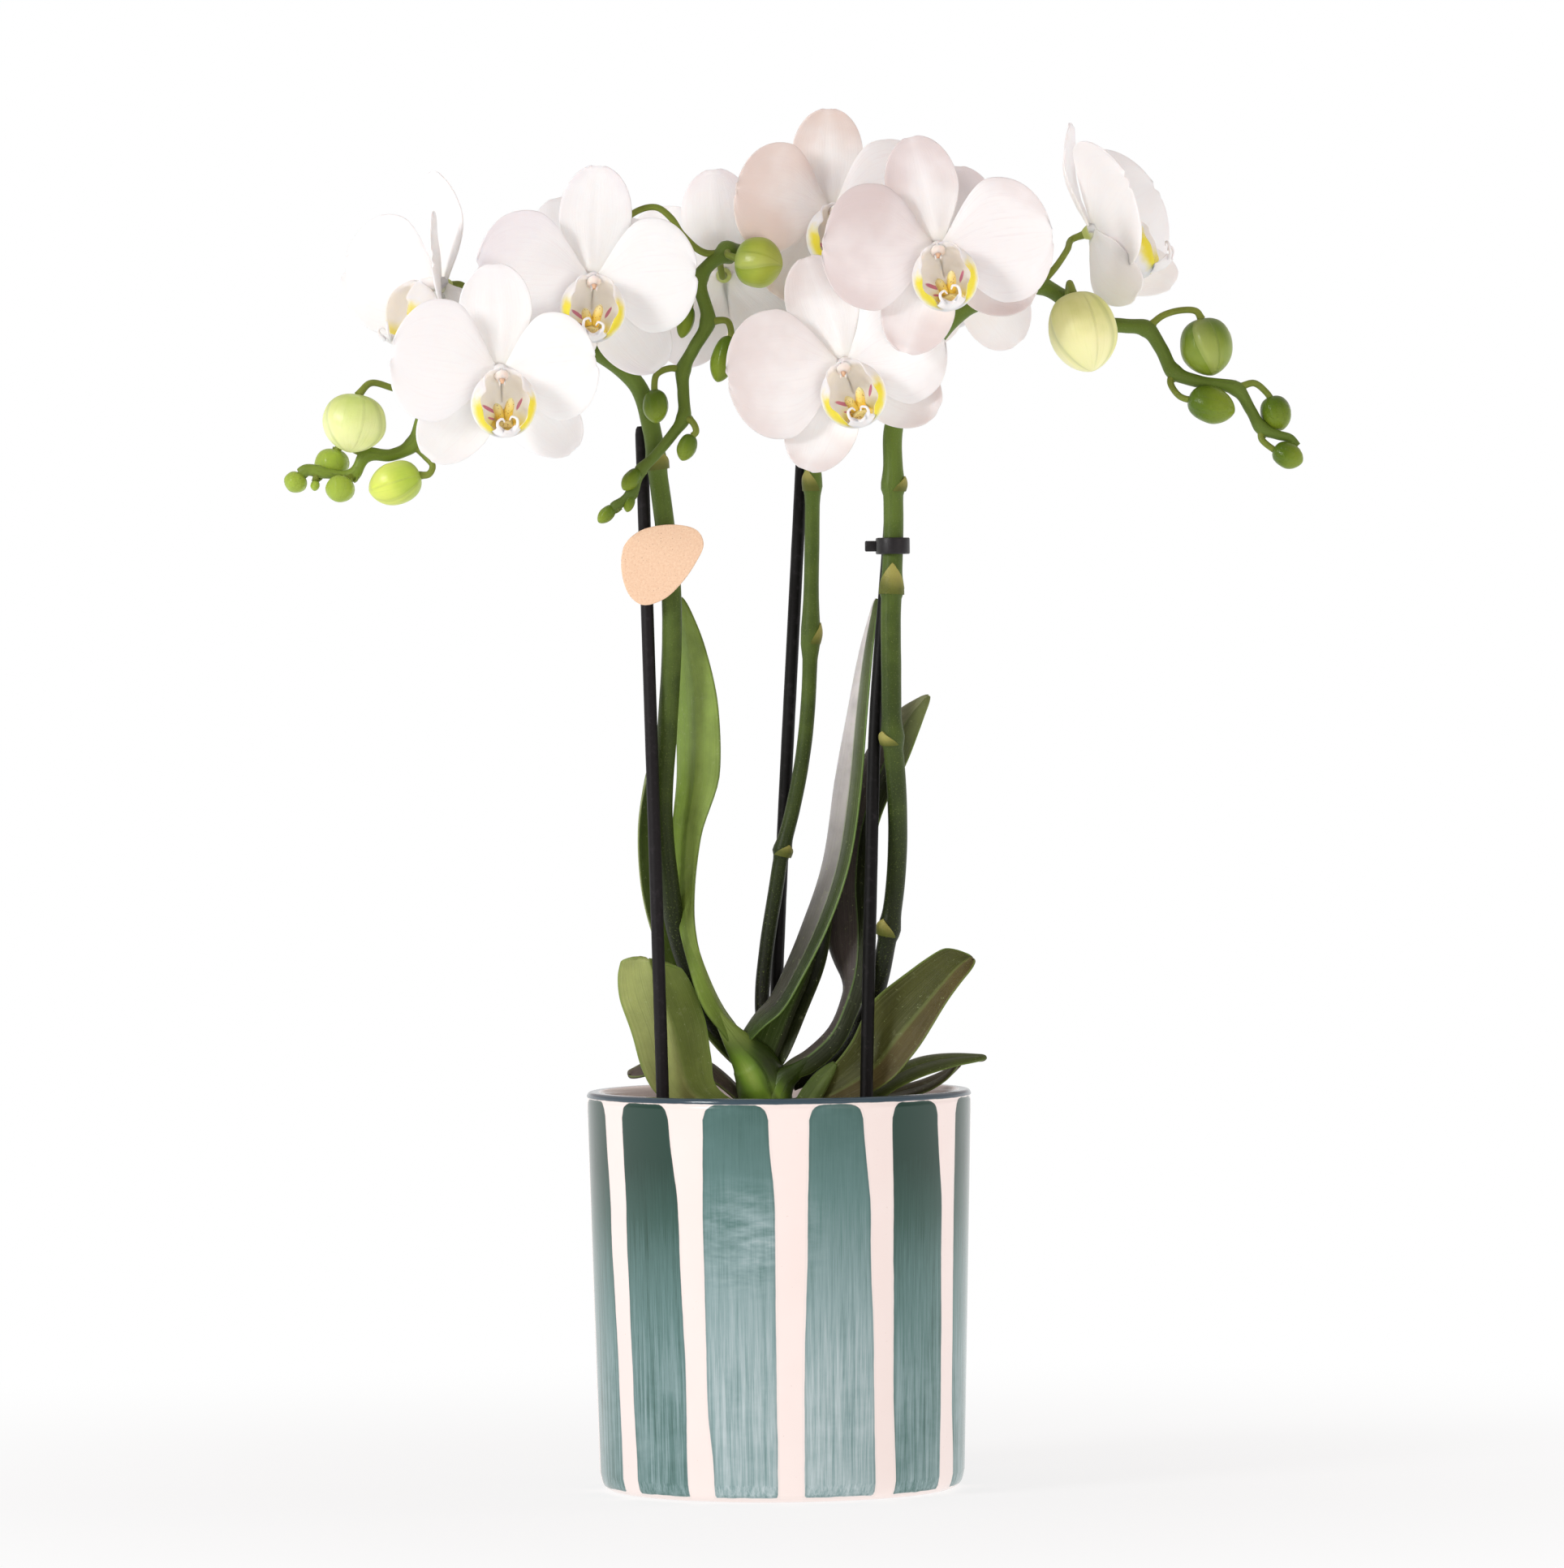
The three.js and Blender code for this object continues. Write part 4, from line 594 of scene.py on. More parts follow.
# Leaves
# Thick strap leaves, two ranked, folded along the midrib, with a waxy skin: fine lengthwise lines,
# a hem of its own tone, pale specks and dust. Most are a little duller or paler on one half. Each is
# a midrib, with the reach of its first and second half from there to the margin.
LEAVES = {
    "leaf_left_tall": {
        "midrib": [[-6.5, -2, 119], [-12, -4.8, 128], [-17.2, -6.3, 135.5], [-21.7, -6.5, 145],
                   [-24.8, -4.5, 156.5], [-25.3, 0, 168], [-24.5, 2.5, 184], [-22, 3, 202],
                   [-22, 3.5, 220.5], [-24, 4, 238], [-26.5, 4, 251]],
        "first": [[-3, -3, 0], [-3, -3.5, -1], [-2.5, 2, 0], [-5, 6, 0], [-6.5, 7, 0], [-4.5, 5, 0]],
        "second": [[1.5, 4, 0], [1.5, 4, 0.5], [1.5, 3.5, 0.5], [1.7, 2, 0.5], [1.9, -1.5, 0],
                   [1.9, -3, 0], [3.3, -4, 0], [6.2, -5, 0], [5.8, -5, 0], [4.6, -4, 0], [3.5, -3, 0]],
        "tip": 0.2,
        "fold": 0.15,
    },
    "leaf_left_behind": {
        "midrib": [[-8, 3, 117], [-13, 6, 123], [-20, 8, 133], [-26, 9, 144.5], [-31, 8.5, 158.5],
                   [-34.5, 7.5, 172.5], [-36, 6.5, 186], [-35.5, 6, 197.5], [-34.5, 6, 207]],
        "first": [[-2, -2, 0], [-5, -3, 0.5], [-5, -3.5, 0], [-2.8, -3, 0], [-0.8, -3, 0]],
        "second": [[2, 3, 0], [1.5, 4.5, 0], [2.2, 6, 0], [4.8, 6, 0], [4, 4, 0]],
        "tip": 0.2,
    },
    "leaf_left_front": {
        "midrib": [[-9, -3, 107], [-14, -5, 107.5], [-20, -7, 109], [-25, -8, 113], [-27.5, -8.5, 121],
                   [-29.5, -8.5, 130], [-32.5, -8, 138.5], [-35, -7.5, 145.5], [-36.5, -7, 150]],
        "first": [[-1, -2, -0.5], [-5.5, -1, -2], [-11.2, 1, -1.5], [-11.8, 2, -1], [-7.4, 1, 1]],
        "second": [[1, 2, 0.5], [5, 2, 2], [8.5, 3, 1.2], [9.6, 3.5, 1], [8.5, 2, -1]],
        "tip": 0.05,
        "ends": [0.99, 1, 0.985, 0.99, 0.96],
    },
    "leaf_left_low": {
        "midrib": [[-9, 2, 108], [-13, 3, 113], [-18, 4, 117.5], [-25, 4, 121.5], [-32, 3, 121.5],
                   [-37.5, 1, 119.5], [-42.5, 0, 117]],
        "first": [[0, -3, -2], [0, -4.5, -3], [1, -5, -3], [1, -4, -2.5]],
        "second": [[0, 3, 2], [-1, 6, 2], [-1, 6, 1], [0, 4, 0]],
        "tip": 0.25,
    },
    "leaf_right_tall": {
        "midrib": [[-10, -3, 125.5], [-4.5, -3.5, 131.8], [0.3, -3.2, 136], [6.5, -2.4, 146.5],
                   [12.5, -0.3, 159], [18, 2, 175], [21.5, 3.2, 196], [23.8, 3.8, 218],
                   [26.2, 4.4, 236], [29, 5, 250]],
        "first": [[0.6, -2, -1], [0.6, -5, -1.6], [0.9, -6, -1.4], [1.4, -7, -1], [2, -8, -0.4],
                  [2.4, -8.5, 0], [2.2, -8, 0], [1.6, -6, 0], [1, -3.5, 0]],
        "second": [[-1, 2, 1], [-2, 4, 1.5], [-2.6, 5.5, 1.8], [-3.6, 7, 1.6], [-4.8, 8.4, 1.2],
                   [-5.3, 9.2, 0.3], [-5.3, 9.5, 0], [-3, 9.2, 0], [-1.6, 7.6, 0], [-0.5, 4, 0]],
        "tip": 0.2,
    },
    "leaf_right_inner": {
        "midrib": [[-2, 0, 116], [1, 1, 122], [5.5, 3, 133], [10.5, 5.5, 145], [13.5, 7, 157],
                   [15.5, 8.5, 168]],
        "first": [[1, -3, 0], [2, -5, 0], [2, -5, 0], [1, -3, 0]],
        "second": [[-6, 2, 2], [-9.5, 1, 4], [-8, 2.5, 2], [-3.5, 4, 1], [-1, 3, 0]],
        "tip": 0.3,
    },
    "leaf_right_arched": {
        "midrib": [[-0.5, -4, 115], [3.5, -6, 118.5], [8.5, -7, 121.5], [15.5, -7, 128],
                   [20, -5.5, 137.5], [22.5, -3, 145.5], [23.5, 1, 156], [23, 4.5, 169.5],
                   [24.5, 6.5, 183.5], [28, 8, 196], [33, 9, 207], [38.5, 10, 216.5],
                   [43.5, 10, 222.5]],
        "first": [[0, -2, -2], [1.5, 0, -4], [2.5, -0.5, -3.5], [3, -4, -2], [3.5, -5, 0], [4, -4, -3],
                  [2, -2, -2]],
        "second": [[0, 2, 2], [-0.5, 2.5, 2], [-1.5, 4.5, 2], [-9.5, 7, 0], [-8, 7, 1], [-5, 6, 4],
                   [-2, 3, 2]],
        "tip": 0.2,
    },
    "leaf_right_broad": {
        "midrib": [[3, -4, 107], [9, -6, 108.5], [17, -8.5, 112], [27, -10, 118.5], [33.5, -10, 126.5],
                   [39.5, -9.5, 133.5], [46, -8.5, 141], [51.5, -7.5, 146.8], [54.8, -7, 149]],
        "first": [[-1, 1, 1], [-4, 0, 5], [-7.5, 2.5, 10], [-6, 3, 6.8], [-3, 2, 3.4]],
        "second": [[1, -1, -1], [3, -2, -3], [4.2, -3, -4.2], [2.6, -3, -2.2], [1.8, -2, -1.4]],
        "tip": 0.16,
    },
    "leaf_right_low": {
        "midrib": [[4, -0.5, 107], [14, -1.5, 107.5], [23, -2.5, 109.5], [28.5, -3, 112.5],
                   [33.5, -2.5, 115.5], [41, -1, 118.5], [49.5, 1, 120], [58.5, 3, 120.3]],
        "first": [[0, -3, -1.4], [0.5, -4, -2.4], [0.5, -5, -2.6], [0.5, -4, -1.4]],
        "second": [[0, 3, 1.2], [-0.5, 4.5, 2.6], [-0.5, 5, 2.4], [0, 4, 1.2]],
        "tip": 0.35,
    },
    "leaf_right_back": {
        "midrib": [[3, 5, 108], [11, 7, 108], [19, 8.5, 108], [27, 10, 108.5], [34.5, 12, 110],
                   [42, 14, 112], [47.5, 15, 115], [51.5, 15, 118.8]],
        "first": [[0, -2.4, 0.2], [0, -3.5, -1], [0, -4, -1.3], [0, -3, -0.8]],
        "second": [[0, 3, 0.8], [0, 4, 1.8], [0, 4.5, 2], [0, 3, 1.2]],
        "tip": 0.3,
    },
    "leaf_right_stub": {
        "midrib": [[7, -7.4, 107], [8.2, -7.8, 109.5], [9.8, -8.2, 112], [12.6, -8.7, 116],
                   [16, -8.6, 119.8]],
        "first": [[2.6, -1, -1.8], [2.4, -1, -1.8], [1.8, -0.8, -1.6]],
        "second": [[-2.6, 1, 1.8], [-2.4, 1, 1.8], [-1.8, 0.8, 1.6]],
        "tip": 0.5,
    },
}
LEAF_ROWS = 64
LEAF_COLUMNS = 24
LEAF_RIB = 2.0
LEAF_EDGE = 1.0


def blade(form, grid, thickness_at, placed, kind=0, under_kind=None):
    """A thin blade round a grid of points on its middle surface, thinned to a soft edge."""
    rows, columns = len(grid), len(grid[0])
    points, places, faces, kinds = [], [], [], []
    for face in (1, -1):
        for i in range(rows):
            for j in range(columns):
                lengthwise = grid[min(i + 1, rows - 1)][j] - grid[max(i - 1, 0)][j]
                widthwise = grid[i][min(j + 1, columns - 1)] - grid[i][max(j - 1, 0)]
                t, v = i / (rows - 1), 2 * j / (columns - 1) - 1
                half = thickness_at(t, v) / 2
                points.append(grid[i][j] + lengthwise.cross(widthwise).normalized() * half * face)
                places.append(placed(t, v, face))
    under = rows * columns
    for i in range(rows - 1):
        for j in range(columns - 1):
            a = i * columns + j
            quad = (a, a + columns, a + columns + 1, a + 1)
            faces.append(quad)
            faces.append(tuple(under + q for q in quad[::-1]))
            kinds += [kind, kind if under_kind is None else under_kind]
    rim = list(range(columns - 1))
    rim += [i * columns + columns - 1 for i in range(rows - 1)]
    rim += [(rows - 1) * columns + j for j in range(columns - 1, 0, -1)]
    rim += [i * columns for i in range(rows - 1, 0, -1)]
    for a, b in zip(rim, rim[1:] + rim[:1]):
        faces.append((a, b, under + b, under + a))
        kinds.append(kind)
    form.add(points, places, faces, kinds)


def rounded_tip(t, share):
    past = max(0.0, (t - 1 + share) / share)
    return math.sqrt(max(0.012, 1 - past * past))


def leaf_form(leaf, seed):
    midrib = Line(leaf["midrib"])
    halves = (Line(leaf["first"]), Line(leaf["second"]))
    ends = leaf.get("ends")
    fold = leaf.get("fold", 1.0)
    grid = []
    for i in range(LEAF_ROWS + 1):
        t = 1 - (1 - i / LEAF_ROWS) ** 1.25
        row = []
        for j in range(LEAF_COLUMNS + 1):
            v = 2 * j / LEAF_COLUMNS - 1
            end = 1 + (along(ends, (v + 1) / 2) - 1) * t if ends else 1.0
            half = halves[0 if v < 0 else 1].at(t)
            reach = abs(v) * rounded_tip(t, leaf["tip"])
            out = (halves[0].at(t) - halves[1].at(t)).cross(midrib.heading(t)).normalized()
            sag = 0.1 * half.length * abs(v) * (1 - abs(v)) * 4 * fold
            wave = 0.35 * noise.noise(Vector((t * 5, v * 1.4, seed * 3.1))) * min(1, abs(v) * 3)
            wave *= math.sin(math.pi * t)
            row.append(midrib.at(t * end) + half * reach + out * (sag + wave))
        grid.append(row)

    def thickness(t, v):
        edge = 1 - max(0.0, (abs(v) - 0.82) / 0.18) ** 2 * 0.7
        tip = 1 - max(0.0, (t - 0.95) / 0.05) ** 2 * 0.6
        groove = 0.25 * math.exp(-(v / 0.05) ** 2) * (1 - t) * fold
        return ((LEAF_RIB + (LEAF_EDGE - LEAF_RIB) * abs(v)) * edge * tip - groove) * 0.94

    form = Form()
    blade(form, grid, thickness, lambda t, v, face: (t, v, face))
    return form


GREEN = tint(84, 106, 34)
OLIVE = tint(76, 80, 30)
PALE_RIB = (0.3, tint(132, 152, 78))
PALE_HEM = (0.5, tint(120, 146, 66))


def leaf_finish(name, upper, under=None, rib=PALE_RIB, gloss=0.4, parting=0.0, hem=PALE_HEM,
                far=None, near=None):
    """upper and under each hold the tones of the two halves, which meet at parting. rib and hem are
    a share and a tone. far and near tone the second and the first half from one place to another."""
    skin = Finish(name)
    t, v, face = skin.place()
    spot = skin.spot()
    second = v.between(parting - 0.05, parting + 0.05)
    base = skin.mix(second, *upper)
    if under:
        base = skin.mix(face.between(-0.2, 0.2), skin.mix(second, *under), base)
    if far:
        base = skin.mix(t.between(*far[:2]) * second, base, far[2])
    if near:
        base = skin.mix(t.between(*near[:2]) * (1 - second), base, near[2])
    mottle = skin.noise(spot, 0.09, 4.0, 0.6)
    deep = skin.mix(0.55, base, tint(12, 26, 4))
    base = skin.mix(mottle.between(0.35, 0.7) * 0.45, base, deep)
    lines = skin.noise(skin.vector(v * 34, t * 1.1, 0.0), 1.0, 4.0, 0.7)
    base = skin.mix(lines.between(0.5, 0.75) * 0.45, base, skin.mix(0.35, base, tint(190, 200, 150)))
    base = skin.mix((1 - lines).between(0.5, 0.72) * 0.5, base, deep)
    if rib:
        base = skin.mix(v.near(0.0, 0.1) * rib[0] * (1 - t.between(0.75, 1.0) * 0.5), base, rib[1])
    base = skin.mix(v.size().between(0.93, 0.985) * hem[0], base, hem[1])
    cells = skin.noise(spot, 2.6, 2.0)
    specks = (cells * 0.5 + skin.noise(spot, 0.9, 1.0) * 0.5).between(0.64, 0.7)
    base = skin.mix(specks * 0.55, base, tint(170, 184, 126))
    dust = skin.noise(spot, 0.35, 5.0, 0.75).between(0.58, 0.75)
    base = skin.mix(dust * 0.25, base, tint(184, 194, 150))
    root = 1 - t.between(0.02, 0.18)
    base = skin.mix(root * 0.4, base, tint(72, 100, 24))
    skin.surface(
        base, gloss + mottle * 0.12 + dust * 0.15, lines * 0.14 + cells * 0.03,
        (0.06, (0.5, 0.9, 0.1), 0.0012), Specular_IOR_Level=0.32)
    return skin


LEAF_SKINS = {
    # Painted shade: the dark hem of leaf_left_tall is the shade along its folded margin
    "leaf_left_tall": {
        "upper": (tint(124, 150, 60), tint(140, 164, 76)), "rib": None, "gloss": 0.34,
        "hem": (0.45, tint(52, 70, 22))},
    "leaf_left_behind": {
        "upper": (tint(98, 116, 56), GREEN), "under": (GREEN, GREEN), "hem": (0.8, tint(168, 180, 128))},
    "leaf_left_front": {"upper": (tint(168, 178, 106), tint(122, 140, 64)), "gloss": 0.36},
    "leaf_left_low": {"upper": (tint(104, 92, 86), tint(104, 92, 86)), "gloss": 0.42},
    # Painted reflection: the grey second half of leaf_right_tall, paling to near white along its middle,
    # is the sheen of the light on its glossy face
    "leaf_right_tall": {
        "upper": (tint(44, 62, 20), tint(66, 66, 56)), "rib": (0.6, tint(132, 156, 96)), "gloss": 0.32,
        "hem": (0.8, tint(112, 142, 72)), "far": (0.25, 0.85, tint(244, 238, 238)),
        "near": (0.3, 0.7, tint(84, 98, 52))},
    "leaf_right_inner": {
        "upper": (tint(40, 48, 20), tint(62, 84, 26)), "rib": None, "parting": 0.2,
        "hem": (0.1, tint(70, 86, 40))},
    # leaf_right_arched: its first half shows the underside, its own olive deepened with painted shade
    "leaf_right_arched": {
        "upper": (tint(36, 44, 16), tint(80, 72, 70)), "rib": (0.85, tint(96, 126, 62)), "gloss": 0.36,
        "far": (0.72, 0.95, tint(140, 146, 104)), "near": (0.68, 0.9, tint(112, 122, 70))},
    "leaf_right_broad": {"upper": (OLIVE, tint(94, 84, 44))},
    "leaf_right_low": {
        "upper": (tint(76, 90, 34), tint(84, 98, 44)), "under": (tint(100, 84, 58), tint(100, 84, 58)),
        "rib": (0.6, tint(150, 158, 104)), "gloss": 0.36},
    "leaf_right_back": {
        "upper": (tint(58, 56, 26), tint(64, 58, 30)), "under": (tint(84, 66, 48), tint(84, 66, 48)),
        "gloss": 0.42},
    "leaf_right_stub": {
        "upper": (tint(92, 112, 46), tint(80, 100, 38)), "hem": (0.3, tint(120, 146, 66))},
}
for seed, (name, leaf) in enumerate(LEAVES.items()):
    leaf_form(leaf, seed).made(name, "leaf", [leaf_finish(name + " skin", **LEAF_SKINS[name])])

# Stakes
# Slim canes coated in black plastic, pushed into the bark beside each spike. Each leans with its
# spike, and the right one bends a little with it.
STAKES = {
    "stake_left": [[-31.5, -17, 62], [-32.5, -15, 111], [-37, -3, 299]],
    "stake_middle": [[-2.5, 15, 62], [-0.5, 14, 137.5], [8.5, 12, 297]],
    "stake_right": [[23.5, -17.5, 62], [24.5, -15, 111], [26.2, -11.3, 167.5], [28, -8.4, 216],
                    [32.3, -5.2, 267.5], [33.4, -4, 284]],
}
STAKE_RADIUS = 1.8
STAKE_ENDS = [(0.0, 1.2), (0.002, 1.6), (0.006, STAKE_RADIUS)]
stake_skin = Finish("black coated cane")
spot = stake_skin.spot()
dust = stake_skin.noise(spot, 0.5, 4.0, 0.7)
grain = stake_skin.noise(spot, 4.0, 2.0)
# Dust, and a painted highlight that lightens the left stake
dust_and_painted_light = dust.between(0.5, 0.8) + (1 - stake_skin.parts(spot)[0].between(-40, 20)) * 0.5
stake_skin.surface(
    stake_skin.mix(dust_and_painted_light, tint(7, 7, 7), tint(38, 35, 38)), 0.4 + dust * 0.2, grain * 0.03,
    Specular_IOR_Level=0.22)
stake_rings = list(STAKE_ENDS)
for k in range(1, 80):
    stake_rings.append((k / 80, STAKE_RADIUS * (1 + 0.02 * noise.noise(Vector((k * 0.7, 0, 0))))))
stake_rings += [(1 - place, radius) for place, radius in STAKE_ENDS[::-1]]
for name, points in STAKES.items():
    stake = Form()
    rod(stake, Line(points), stake_rings, 20)
    stake.made(name, "black_plastic", [stake_skin])

# Flower spikes
# Round green stems with fine dots, bent at each joint, where a dry pointed scale clasps the stem.
# Side stalks leave near the top. BLOOMS and LARGE_BUDS stand here because the stalks end at them.
BLOOMS = {
    "a": {"heart": [-93, 5, 339.5], "yaw": -60, "pitch": 0, "sweep": 29, "cups": [4, 6, 6],
          "lengths": [32, 31, 25, 28, 31]},
    "b": {"heart": [-75.5, -42, 313.5], "yaw": 6, "pitch": -4, "sweep": 8,
          "angles": [-3, 83, 137, -139, -79], "lengths": [30, 27, 30, 31, 31],
          "turns": [0, 0, 22, 10, 0]},
    "c": {"heart": [-50, -20, 339.5], "yaw": 4, "pitch": 0, "sweep": 8,
          "angles": [3.5, 86, 143, -150, -85], "lengths": [32, 29, 31, 29, 33]},
    "d": {"heart": [-53.5, 4, 336.5], "yaw": 188, "pitch": 0, "sweep": 8,
          "angles": [14, 88, 152, -130, -66], "lengths": [28, 27, 28, 28, 29]},
    "e": {"heart": [-13.5, 16, 342], "yaw": 176, "pitch": 4, "sweep": 8,
          "angles": [5, 80, 148, -134, -72]},
    "f": {"heart": [17, 0, 359], "yaw": 10, "pitch": 4, "sweep": 8,
          "angles": [-1, 77, 142, -145, -78], "lengths": [29, 30, 29, 29, 29]},
    "g": {"heart": [46, -40, 346.5], "yaw": 0, "pitch": 0, "sweep": 7,
          "angles": [-13, 83, 117, -162, -87], "lengths": [32, 32, 30, 30, 32]},
    "h": {"heart": [20, -24, 315], "yaw": -2, "pitch": -3, "sweep": 7,
          "angles": [-19, 72, 115, -159, -95], "lengths": [32, 29, 29, 31, 33]},
    "i": {"heart": [90.5, 2, 353], "yaw": 80, "pitch": 21, "sweep": 27, "cups": [9, 26, 13],
          "lengths": [31, 35, 30, 30, 35], "turns": [0, 7, 42, 42, 7]},
    "j": {"heart": [53, 12, 344], "yaw": 196, "pitch": 0, "sweep": 8, "lengths": [28, 26, 28, 28, 26]},
}
LARGE_BUDS = {
    "bud_left_high": [[-116, -14, 308.4], [-118.6, -15, 292.2], 9.1],
    "bud_left_low": [[-98.8, -13.3, 285.7], [-113.2, -13.3, 281.3], 6.2],
    "bud_middle": [[-10, -13.2, 345.6], [3, -15.5, 343.2], 7.3],
    "bud_right_large": [[84.2, -20, 334.6], [89, -25, 312.8], 9.6],
    "bud_right_upper": [[120.4, -7, 327.8], [123.4, -7, 311.8], 7.6],
}
